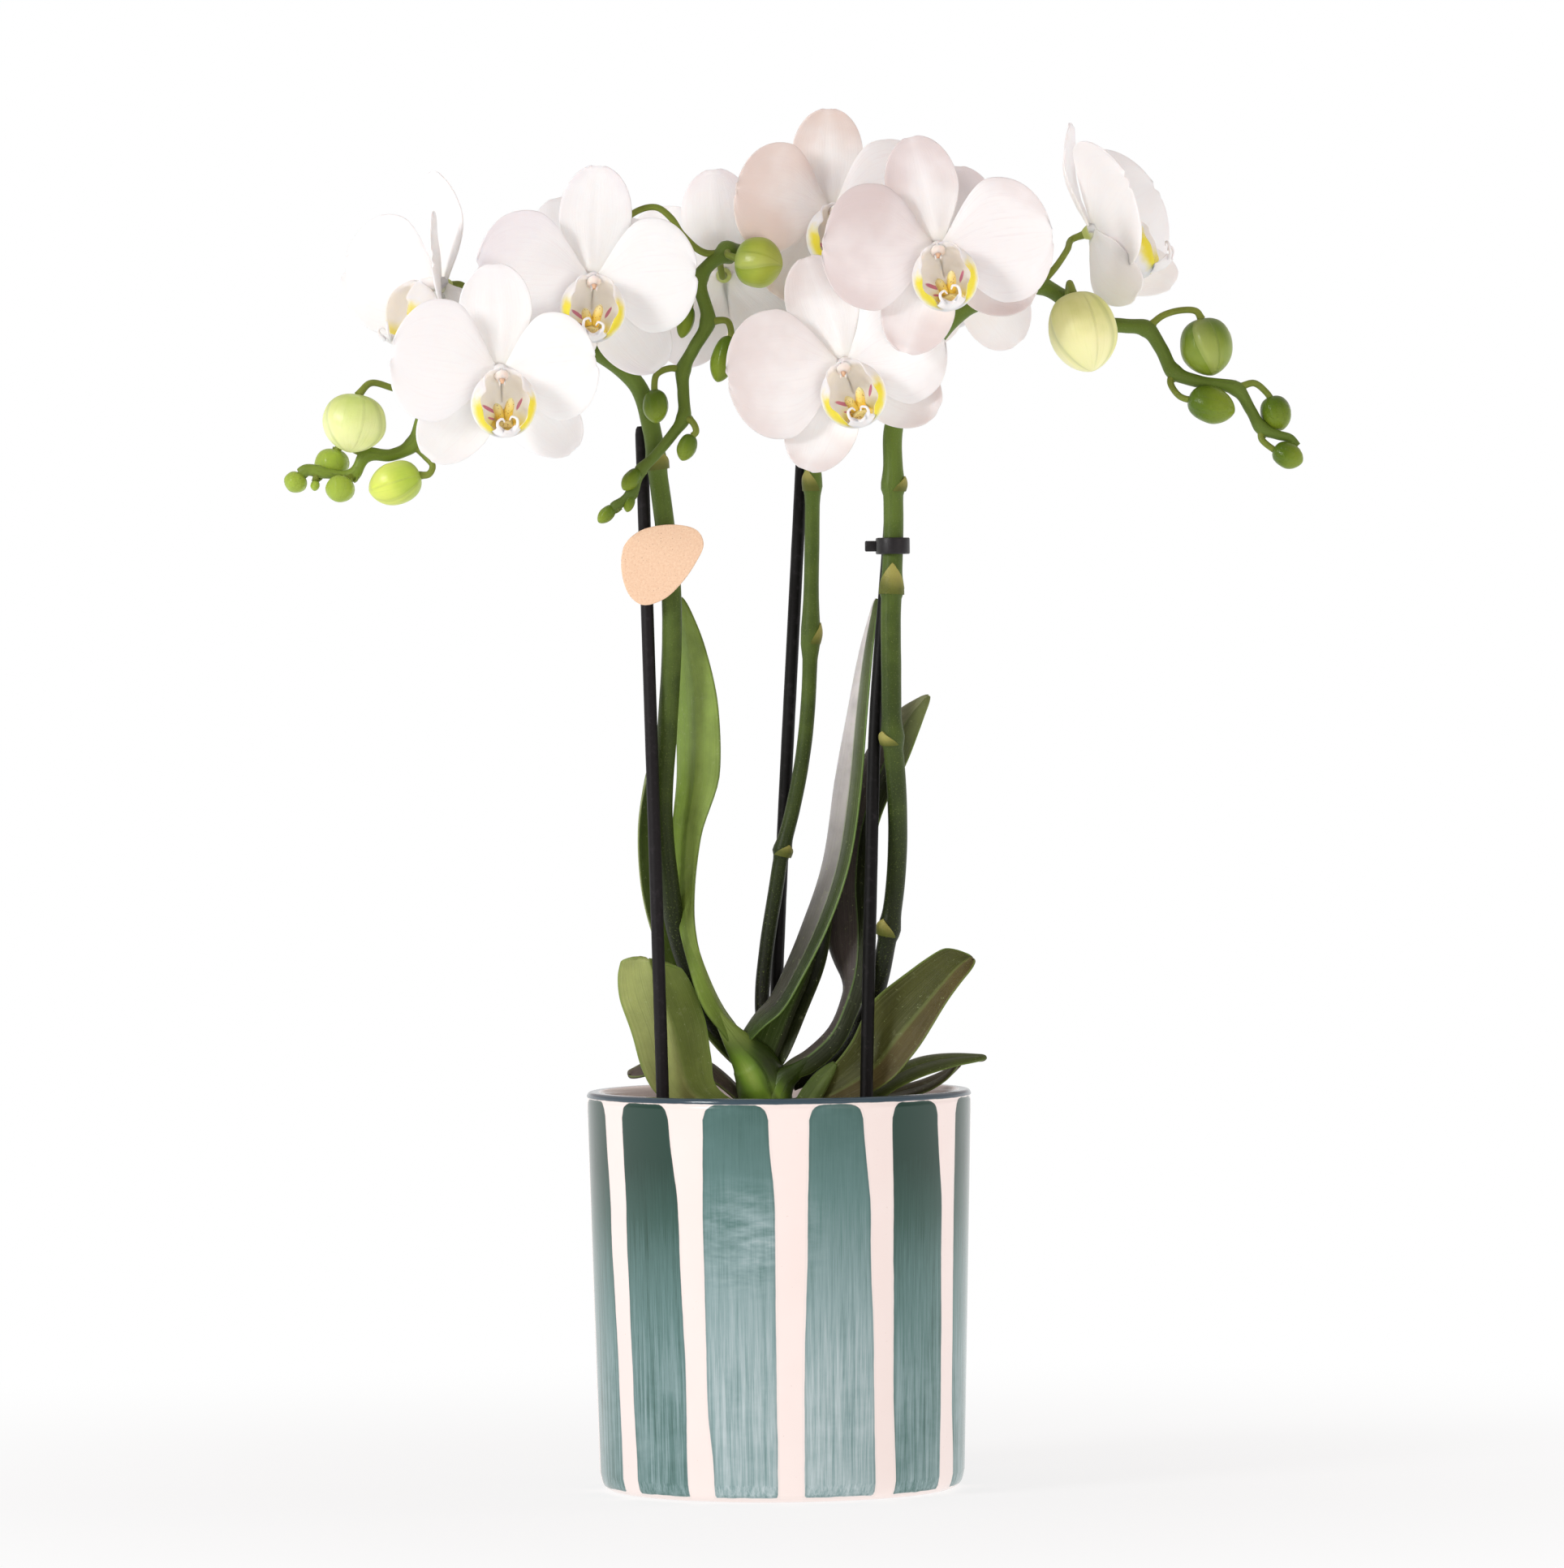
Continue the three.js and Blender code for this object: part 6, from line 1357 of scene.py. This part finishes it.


# Each bloom's white, and the painted shade that its petals take towards their margins, deeper on the
# blooms in more shade
PETAL_TONES = {
    "a": (tint(255, 254, 254), tint(252, 248, 249)), "b": (tint(255, 255, 255), tint(252, 249, 252)),
    "c": (tint(255, 255, 255), tint(245, 239, 244)), "d": (tint(255, 255, 255), tint(254, 250, 253)),
    "e": (tint(255, 253, 253), tint(247, 238, 241)), "f": (tint(255, 251, 249), tint(230, 213, 207)),
    "g": (tint(252, 247, 248), tint(217, 206, 206)), "h": (tint(255, 252, 252), tint(225, 215, 214)),
    "i": (tint(255, 255, 255), tint(255, 249, 249)), "j": (tint(250, 244, 246), tint(240, 229, 230)),
}


def petal_finish(name, inner, shade_tone):
    skin = Finish(name)
    t, v, mark = skin.place()
    spot = skin.spot()
    veins = skin.noise(skin.vector(v * 22, t * 2.2, mark * 7), 1.0, 4.0, 0.65)
    cloud = skin.noise(spot, 0.045, 3.0)
    sparkle = skin.noise(spot, 3.4, 2.0)
    # Painted shade: the petals darken and turn pinker towards their tips and margins, the left petals
    # more and the right ones less, as the light comes from the left
    outwards = (t * 0.7 + v.size() * 0.3 + (cloud - 0.5) * 1.2 - 0.15).between(0.0, 1.0)
    left_petal = mark.between(3.4, 3.6)
    right_petal = mark.near(1.0, 0.5)
    shaded = (outwards + left_petal * 0.35 - right_petal * 0.4).between(0.0, 1.0)
    white = skin.mix(shaded, inner, shade_tone)
    vein = skin.mix(0.5, shade_tone, tint(238, 218, 226))
    white = skin.mix(veins.between(0.48, 0.72) * (0.28 - t * 0.12), white, vein)
    petal = right_petal.between(0.0, 0.1) + left_petal
    root = (1 - t.between(0.0, 0.22)) * 0.25 + (1 - t.between(0.1, 0.75)) * (1 - petal) * 0.15
    white = skin.mix(root, white, tint(248, 246, 222))
    skin.surface(
        white, 0.48 + sparkle * 0.1, veins * 0.07 + sparkle * 0.02,
        (0.6, (1.0, 0.82, 0.75), 0.0022), Specular_IOR_Level=0.3)
    return skin


column_skin = Finish("bloom column")
t, _, mark = column_skin.place()
cap = mark.between(0.3, 0.8) * 0.9 + t.between(0.72, 0.95) * 0.3
column_skin.surface(
    column_skin.mix(cap, tint(251, 246, 243), tint(248, 190, 156)), 0.5,
    column_skin.noise(column_skin.spot(), 1.6, 2.0) * 0.05, (0.6, (1.0, 0.8, 0.7), 0.002),
    Specular_IOR_Level=0.3)

root_skin = Finish("bloom root")
t, turn, _ = root_skin.place()
grain = root_skin.noise(root_skin.vector(turn * 3, t, 0.0), 1.0, 3.0)
root_skin.surface(
    root_skin.mix(t.between(0.25, 0.8), tint(186, 198, 112), tint(240, 240, 214)),
    0.4 + grain * 0.1, grain * 0.1, (0.4, (0.9, 1.0, 0.5), 0.001), Specular_IOR_Level=0.4)


def putting(bloom, roll=0.0):
    """Turns a bloom's own place into the place in the plant."""
    right, up, facing = bloom_axes(bloom)
    heart = Vector(bloom["heart"])
    c, s = math.cos(math.radians(roll)), math.sin(math.radians(roll))
    return lambda p: heart + right * (p.x * c - p.y * s) + up * (p.x * s + p.y * c) + facing * p.z


def put_line(put, points):
    return Line([put(Vector(p)) for p in points])


# Which of a bloom's three finishes a part takes, after its petals and sepals
COLUMN, ROOT = 1, 2
SEPALS = (0, 2, 3)
# The cap of the column and the two lobes beside it: how far aside, how thick and how far up
BEAKS = ((0, 1.0, 1.0), (-0.7, 0.42, 0.0), (0.7, 0.42, 0.0))
ROOT_STEPS = 14
COLUMN_STEPS = 36
BEAK_STEPS = 14

for seed, (letter, bloom) in enumerate(BLOOMS.items()):
    bloom = {**USUAL, **bloom}
    put = putting(bloom)
    form = Form()
    for k, angle in enumerate(bloom["angles"]):
        length, twist = bloom["lengths"][k], bloom["turns"][k]
        own = seed * 5.7 + k * 1.9
        if k in SEPALS:
            cup = bloom["cups"][SEPALS.index(k)]
            lean = math.radians(twist) * (1 if angle > 0 else -1 if angle < 0 else 0)
            add_tepal(form, angle, lambda t, v: sepal_point(t, v, length, cup, lean, own), put, k, False)
        else:
            sweep = bloom["sweep"]
            add_tepal(form, angle, lambda t, v: petal_point(t, v, length, sweep, twist, own), put, k,
                      True)
    root = put_line(put, ((0, 0, -RECEPTACLE), (0, 0, -0.8), (0, 0, 1.6)))
    rings = []
    for k in range(ROOT_STEPS + 1):
        rings.append((k / ROOT_STEPS, 1.25 + 1.0 * math.sin(math.pi * min(1, k / 12) * 0.8)))
    rod(form, root, rings, 24, 0.0, None, ROOT)
    column = put_line(put, ((0, 0.3, -1), (0, 0.2, 3.5), (0, -0.3, 6.6), (0, -1.5, 9.0)))
    rings = []
    for k in range(COLUMN_STEPS + 1):
        s = k / COLUMN_STEPS
        end = math.sqrt(max(0.03, 1 - max(0.0, (s - 0.78) / 0.22) ** 2))
        rings.append((s, (2.2 - 0.2 * s) * end))
    rod(form, column, rings, 32, 0.0, lambda t, turn: 1 + 0.06 * math.cos(2 * turn), COLUMN)
    for side, out, reach in BEAKS:
        rings = []
        for k in range(BEAK_STEPS + 1):
            s = k / BEAK_STEPS
            rings.append((s, out * math.sqrt(max(0.03, 1 - s ** 2.2))))
        beak = ((side * 0.6, -1.2, 7.2), (side * 0.9, -2.0, 8.8), (side, -3.3 + reach, 9.6))
        rod(form, put_line(put, beak), rings, 18, reach, None, COLUMN)
    petals = petal_finish("petals of bloom " + letter, *PETAL_TONES[letter])
    form.made("bloom_" + letter, "petal", [petals, column_skin, root_skin])

# Lips
# Each bloom's lip: two side lobes that meet behind the column as a cup, a fleshy yellow callus in
# it, and a narrow tongue that curls up to a tip with two tendrils. Magenta streaks mark its throat.
LIP_CENTRE = Vector((0, -8.4, 9.2))
LIP_REACH = Vector((8.8, 9.0, 6.9))
# Degrees that the lobes go round at their front edge, and further back, where they meet
LIP_SWEEP = 354
LIP_CLOSED = 360.2
LIP_ROWS = 96
LIP_COLUMNS = 30
TONGUE_ROWS = 30
TONGUE_COLUMNS = 24
PRONG_STEPS = 18
# Which of the four finishes each part takes: lobe outside, lobe inside, callus, tongue
OUTSIDE, INSIDE, CALLUS, TONGUE = 0, 1, 2, 3
LIP_FLESH = (1.0, 0.9, 0.75)
# Each magenta streak in the throat: its middle, height, slope, length and thickness
STREAKS = ((-3.9, -1.5, 0.6, 3.1, 1.0), (4.8, -0.5, -1.5, 1.5, 1.3), (-3.4, -4.2, 0.3, 1.6, 0.6))

lobe_skin = Finish("lip outside")
# azimuth is 0 at the foot of the mouth and grows to 180 degrees at its top, polar is 0 straight ahead
azimuth, polar, _ = lobe_skin.place()
mottle = lobe_skin.noise(lobe_skin.spot(), 0.35, 3.0)
side = azimuth.size() + (mottle - 0.5) * 34
towards_front = 1 - (polar + (mottle - 0.5) * 22).between(56, 88)
patch = side.between(12, 30) * (1 - side.between(90, 128)) * towards_front
lobe_skin.surface(
    lobe_skin.mix(patch, tint(252, 247, 244), tint(253, 216, 66)), 0.42 + mottle * 0.1, mottle * 0.12,
    (1.0, LIP_FLESH, 0.003), Specular_IOR_Level=0.3)

throat_skin = Finish("lip inside")
across, up, polar = throat_skin.place()
mottle = throat_skin.noise(throat_skin.spot(), 0.4, 3.0)
wobble = (mottle - 0.5) * 1.6
foot = 1 - (up + wobble + across.size() * 0.35).between(-5.4, 0.4)
throat = throat_skin.mix(foot, tint(255, 250, 236), tint(255, 214, 100))
near_rim = 1 - polar.between(62, 118)
yellow = (1 - (up + wobble).between(-5.0, -0.5)) * 0.9
throat = throat_skin.mix(
    near_rim, throat, throat_skin.mix(yellow, tint(253, 245, 243), tint(253, 222, 92)))
for middle, rise, slope, long, thick in STREAKS:
    off = up - rise + (across - middle) * slope + wobble * 0.3
    stroke = off.near(0.0, thick) * across.near(middle, long)
    throat = throat_skin.mix(stroke.between(0.15, 0.5) * 0.9, throat, tint(176, 74, 130))
throat_skin.surface(
    throat, 0.5 + mottle * 0.1, mottle * 0.12, (1.0, LIP_FLESH, 0.004), Specular_IOR_Level=0.25)

callus_skin = Finish("lip callus")
t, _, _ = callus_skin.place()
spot = callus_skin.spot()
mottle = callus_skin.noise(spot, 0.8, 3.0)
fleck = callus_skin.noise(spot, 2.4, 1.0).between(0.64, 0.7) * t.between(0.3, 0.6)
callus = callus_skin.ramp(
    t + (mottle - 0.5) * 0.3, (0.1, tint(250, 200, 70)), (0.5, tint(253, 222, 104)),
    (0.95, tint(255, 240, 180)))
callus = callus_skin.mix(fleck * 0.8, callus, tint(150, 70, 40))
callus_skin.surface(callus, 0.4, mottle * 0.15, (0.6, (1.0, 0.85, 0.5), 0.0012))

tongue_skin = Finish("lip tongue")
t, _, tendril_mark = tongue_skin.place()
mottle = tongue_skin.noise(tongue_skin.spot(), 0.5, 3.0)
pale = (t + tendril_mark + (mottle - 0.5) * 0.4).between(0.1, 0.5)
tongue_skin.surface(
    tongue_skin.mix(pale, tint(252, 216, 96), tint(250, 245, 248)), 0.38 + mottle * 0.1, mottle * 0.1,
    (0.7, (1.0, 0.85, 0.8), 0.0018), Specular_IOR_Level=0.4)


def smooth(low, high, value):
    share = min(1.0, max(0.0, (value - low) / (high - low)))
    return share * share * (3 - 2 * share)


def add_lobes(form, put, seed):
    """Both side lobes as one cup, open in front, with its foot drawn in and its rim curled out."""
    grid, rows = [], []
    for i in range(LIP_ROWS + 1):
        row = []
        for j in range(LIP_COLUMNS + 1):
            share = j / LIP_COLUMNS
            sweep = LIP_SWEEP + (LIP_CLOSED - LIP_SWEEP) * smooth(0, 0.12, share)
            off = (i / LIP_ROWS - 0.5) * sweep
            near_foot = math.exp(-(off / 26) ** 2)
            front = 43 + 38 * near_foot + 52 * smooth(125, 168, abs(off))
            front += 2.5 * math.sin(off * 0.12 + seed)
            polar = front + (179.4 - front) * share ** 1.15
            curl = 1 + 0.1 * math.exp(-(share / 0.12) ** 2) * (1 - near_foot)
            a, p = math.radians(off), math.radians(polar)
            x = LIP_REACH.x * math.sin(p) * math.sin(a) * curl
            y = -LIP_REACH.y * math.sin(p) * math.cos(a) * curl
            z = LIP_REACH.z * math.cos(p)
            rows.append((off, polar, x, y))
            row.append(put(Vector((x + LIP_CENTRE.x, y + LIP_CENTRE.y, z + LIP_CENTRE.z))))
        grid.append(row)

    def placed(t, v, face):
        column = round((v + 1) / 2 * LIP_COLUMNS)
        off, polar, x, y = rows[round(t * LIP_ROWS) * (LIP_COLUMNS + 1) + column]
        return (off, polar, 0.0) if face < 0 else (x, y, polar)

    blade(form, grid, lambda t, v: 0.7 * math.sqrt(max(0.04, 1 - abs(v) ** 6)), placed, INSIDE, OUTSIDE)


def add_callus(form, put):
    """A fleshy ridge on the floor of the lip that ends in two prongs."""
    ridge = ((0, -10.6, 0.6), (0, -12.8, 3.4), (0, -15.6, 7.6))
    rod(form, put_line(put, ridge), even_rings([0.5, 2.6, 2.4], 24), 28, 0.0, None, CALLUS)
    for side, tall in ((-1, 0.0), (1, 1.3)):
        prong = ((side * 0.4, -13.6, 5.4), (side * 1.3, -11.0 + tall * 0.4, 7.4),
                 (side * 2.2, -8.2 + tall, 8.6))
        rings = []
        for k in range(PRONG_STEPS + 1):
            s = k / PRONG_STEPS
            end = math.sqrt(max(0.03, 1 - max(0.0, (s - 0.68) / 0.32) ** 2))
            rings.append((s, (1.6 - 0.2 * s) * end))
        rod(form, put_line(put, prong), rings, 22, 0.0,
            lambda t, turn: 1 + 0.12 * math.cos(2 * turn + 0.6), CALLUS)


def add_tongue(form, put, seed):
    """The narrow middle lobe, curled up, with a thin tendril at each side of its tip."""
    middle = Line([(-14.6, 5.6, 3.0), (-16.6, 10, 4.2), (-17.0, 14.4, 3.7), (-15.6, 17.6, 2.2)])
    grid = []
    for i in range(TONGUE_ROWS + 1):
        y, z, width = middle.at(i / TONGUE_ROWS)
        row = []
        for j in range(TONGUE_COLUMNS + 1):
            v = j / (TONGUE_COLUMNS // 2) - 1
            row.append(put(Vector((v * width, y + 1.7 * v * v, z + 0.4 * math.sin(4 * v + seed)))))
        grid.append(row)
    blade(form, grid, lambda t, v: 0.8 * math.sqrt(max(0.1, 1 - abs(v) ** 4)),
          lambda t, v, face: (t, v, 0.0), TONGUE)
    for side in (-1, 1):
        curl = 0.8 * math.sin(seed * 3 + side)
        tendril = ((side * 1.5, -15.6, 17.2), (side * 2.7, -14.0, 18.4), (side * 2.6, -12.0 + curl, 18.8),
                   (side * 1.3, -11.4 + curl, 18.2), (side * 0.7, -12.3 + curl, 17.6))
        rings = even_rings([0.6, 0.45, 0.38, 0.32, 0.2], 36)
        rod(form, put_line(put, tendril), rings, 14, 0.9, None, TONGUE)


for seed, (letter, bloom) in enumerate(BLOOMS.items()):
    bloom = {**USUAL, **bloom}
    put = putting(bloom, -bloom["angles"][0])
    lip = Form()
    add_lobes(lip, put, seed * 1.7)
    add_callus(lip, put)
    add_tongue(lip, put, seed * 1.7)
    lip.made("lip_" + letter, "lip", [lobe_skin, throat_skin, callus_skin, tongue_skin])

# Large buds
# Closed blooms, egg shaped: three sepals furled over one another, with a shallow step at the free
# edge of each. They start green and turn a paler yellow as they fill.
BUD_TONES = {
    "bud_left_high": (tint(190, 212, 104), tint(240, 246, 176), 28),
    "bud_left_low": (tint(160, 192, 54), tint(220, 232, 104), 30),
    "bud_middle": (tint(120, 144, 30), tint(170, 182, 58), 70),
    "bud_right_large": (tint(214, 220, 124), tint(252, 250, 190), 20),
    "bud_right_upper": (tint(92, 120, 28), tint(136, 156, 50), 60),
}
for name, (base, tip, radius) in LARGE_BUDS.items():
    bud = Form()
    root_tone, tip_tone, start = BUD_TONES[name]
    add_bud(bud, base, tip, radius, 0.0, start)
    skin = Finish(name + " skin")
    t, turn, _ = skin.place()
    spot = skin.spot()
    round_about = (turn * (180 / math.pi) + start + t * BUD_TWIST) / 120
    fold = skin.node("Math", {"operation": "FRACT"}, {0: round_about})
    painted_seam_shade = fold.near(0.97, 0.06) + fold.near(-0.02, 0.1)
    shade = skin.noise(spot, 0.12, 3.0)
    fine = skin.noise(skin.vector(turn * 9, t * 1.5, 0.0), 1.0, 3.0)
    tone = skin.mix((t * 0.7 + shade * 0.6).between(0.15, 0.9), root_tone, tip_tone)
    tone = skin.mix(fine.between(0.5, 0.8) * 0.3, tone, root_tone)
    tone = skin.mix(fold.between(0.4, 0.9) * 0.25, tone, tint(222, 226, 150))
    # Painted shade along the crease at each sepal's free edge
    tone = skin.mix(painted_seam_shade * 0.22, tone, tint(104, 128, 40))
    skin.surface(
        tone, 0.3 + shade * 0.12, fine * 0.1 + skin.noise(spot, 2.8, 2.0) * 0.03,
        (0.25, (0.8, 1.0, 0.3), 0.002))
    bud.made(name, "bud", [skin])

# Studio
# A pale floor that fades into the same white all round, a key lamp from the left, a fill and a low
# lamp in front, one at each side, and the camera where the picture was taken from.
FLOOR_SIDES = 64
FLOOR_REACHES = (0.4, 2.0, 60.0)
FLOOR_LEVEL = -0.0002
floor_points = [(0, 0, FLOOR_LEVEL)]
for reach in FLOOR_REACHES:
    for k in range(FLOOR_SIDES):
        turn = 2 * math.pi * k / FLOOR_SIDES
        floor_points.append((reach * math.cos(turn), reach * math.sin(turn), FLOOR_LEVEL))
floor_faces = [(0, 1 + k, 1 + (k + 1) % FLOOR_SIDES) for k in range(FLOOR_SIDES)]
for a in range(1, len(floor_points) - FLOOR_SIDES, FLOOR_SIDES):
    b = a + FLOOR_SIDES
    for k in range(FLOOR_SIDES):
        after = (k + 1) % FLOOR_SIDES
        floor_faces.append((a + k, b + k, b + after, a + after))
floor_mesh = bpy.data.meshes.new("floor")
floor_mesh.from_pydata(floor_points, [], floor_faces)
floor = bpy.data.objects.new("floor", floor_mesh)
bpy.context.scene.collection.objects.link(floor)
ground = Finish("pale floor")
spot = ground.spot()
away = ground.node("VectorMath", {"operation": "LENGTH"}, {0: spot}, out=1)
lit = ground.node("BsdfDiffuse", None, {"Color": (0.9, 0.9, 0.9, 1)})
glow = ground.node("Emission", None, {"Color": (1, 1, 1, 1), "Strength": 1.0})
far_front = 1 - ground.parts(spot)[1].between(-900, -300)
share = (away.between(60, 500) * 0.22 + 0.78) * (1 - far_front)
joined = ground.node("MixShader", None, {0: share, 1: lit, 2: glow})
ground.node("OutputMaterial", None, {"Surface": joined}, out=None)
floor_mesh.materials.append(ground.material)

world = bpy.data.worlds.new("studio")
bpy.context.scene.world = world
sky = Finish("studio", world)
_, behind, up = sky.parts(sky.node("TexCoord", None, None, out=0))
bright = behind.between(-0.3, 0.45) * (1 - up.between(0.09, 0.25) * 0.6)
shine = sky.node("Background", None, {
    "Color": sky.mix(bright, (1.0, 0.84, 0.82, 1), (1, 1, 1, 1)), "Strength": 0.34 + bright * 0.66})
sky.node("OutputWorld", None, {"Surface": shine}, out=None)


def softbox(name, place, target, width, height, power, colour=(1, 1, 1), glossy=True, spread=180):
    lamp = bpy.data.lights.new(name, "AREA")
    lamp.shape = "RECTANGLE"
    lamp.size, lamp.size_y = width, height
    lamp.energy = power
    lamp.color = colour
    box = bpy.data.objects.new(name, lamp)
    box.location = place
    box.rotation_euler = (Vector(target) - Vector(place)).to_track_quat("-Z", "Y").to_euler()
    lamp.spread = math.radians(spread)
    box.visible_camera = False
    box.visible_glossy = glossy
    bpy.context.scene.collection.objects.link(box)


softbox("key", (-0.95, -0.82, 0.75), (-0.02, 0, 0.31), 0.36, 0.36, 1.5, spread=75)
softbox("fill", (1.4, -1.6, 0.7), (0, 0, 0.2), 1.0, 1.0, 2.8, (1.0, 0.9, 0.88))
softbox("low_front", (0.3, -1.4, 0.1), (0, 0, 0.34), 0.5, 0.25, 1.0, (1.0, 0.96, 0.9),
        glossy=False, spread=80)
softbox("left_side", (-1.1, 0.15, 0.35), (0, 0, 0.15), 0.5, 0.9, 1.4, glossy=False)
softbox("right_side", (1.1, 0.15, 0.35), (0, 0, 0.15), 0.5, 0.9, 2.4, glossy=False)

CAMERA_PLACE = (0.00164, -2.713, 0.240)
# Degrees that the camera looks down, and is rolled
CAMERA_DOWN = 0.8827
CAMERA_ROLL = -0.5
SENSOR = 36.0
# The lens in pixels of the picture, and the height of the picture
LENS_PIXELS = 11883.0
PICTURE_HEIGHT = 1932.0
camera = bpy.data.cameras.new("camera")
camera.sensor_width = SENSOR
camera.lens = LENS_PIXELS * SENSOR / PICTURE_HEIGHT
camera.clip_start, camera.clip_end = 0.05, 200.0
eye = bpy.data.objects.new("camera", camera)
pitch = Matrix.Rotation(math.radians(90 - CAMERA_DOWN), 4, "X")
roll = Matrix.Rotation(math.radians(CAMERA_ROLL), 4, "Z")
eye.matrix_world = Matrix.Translation(CAMERA_PLACE) @ pitch @ roll
bpy.context.scene.collection.objects.link(eye)
bpy.context.scene.camera = eye
bpy.context.scene.view_settings.view_transform = "Standard"
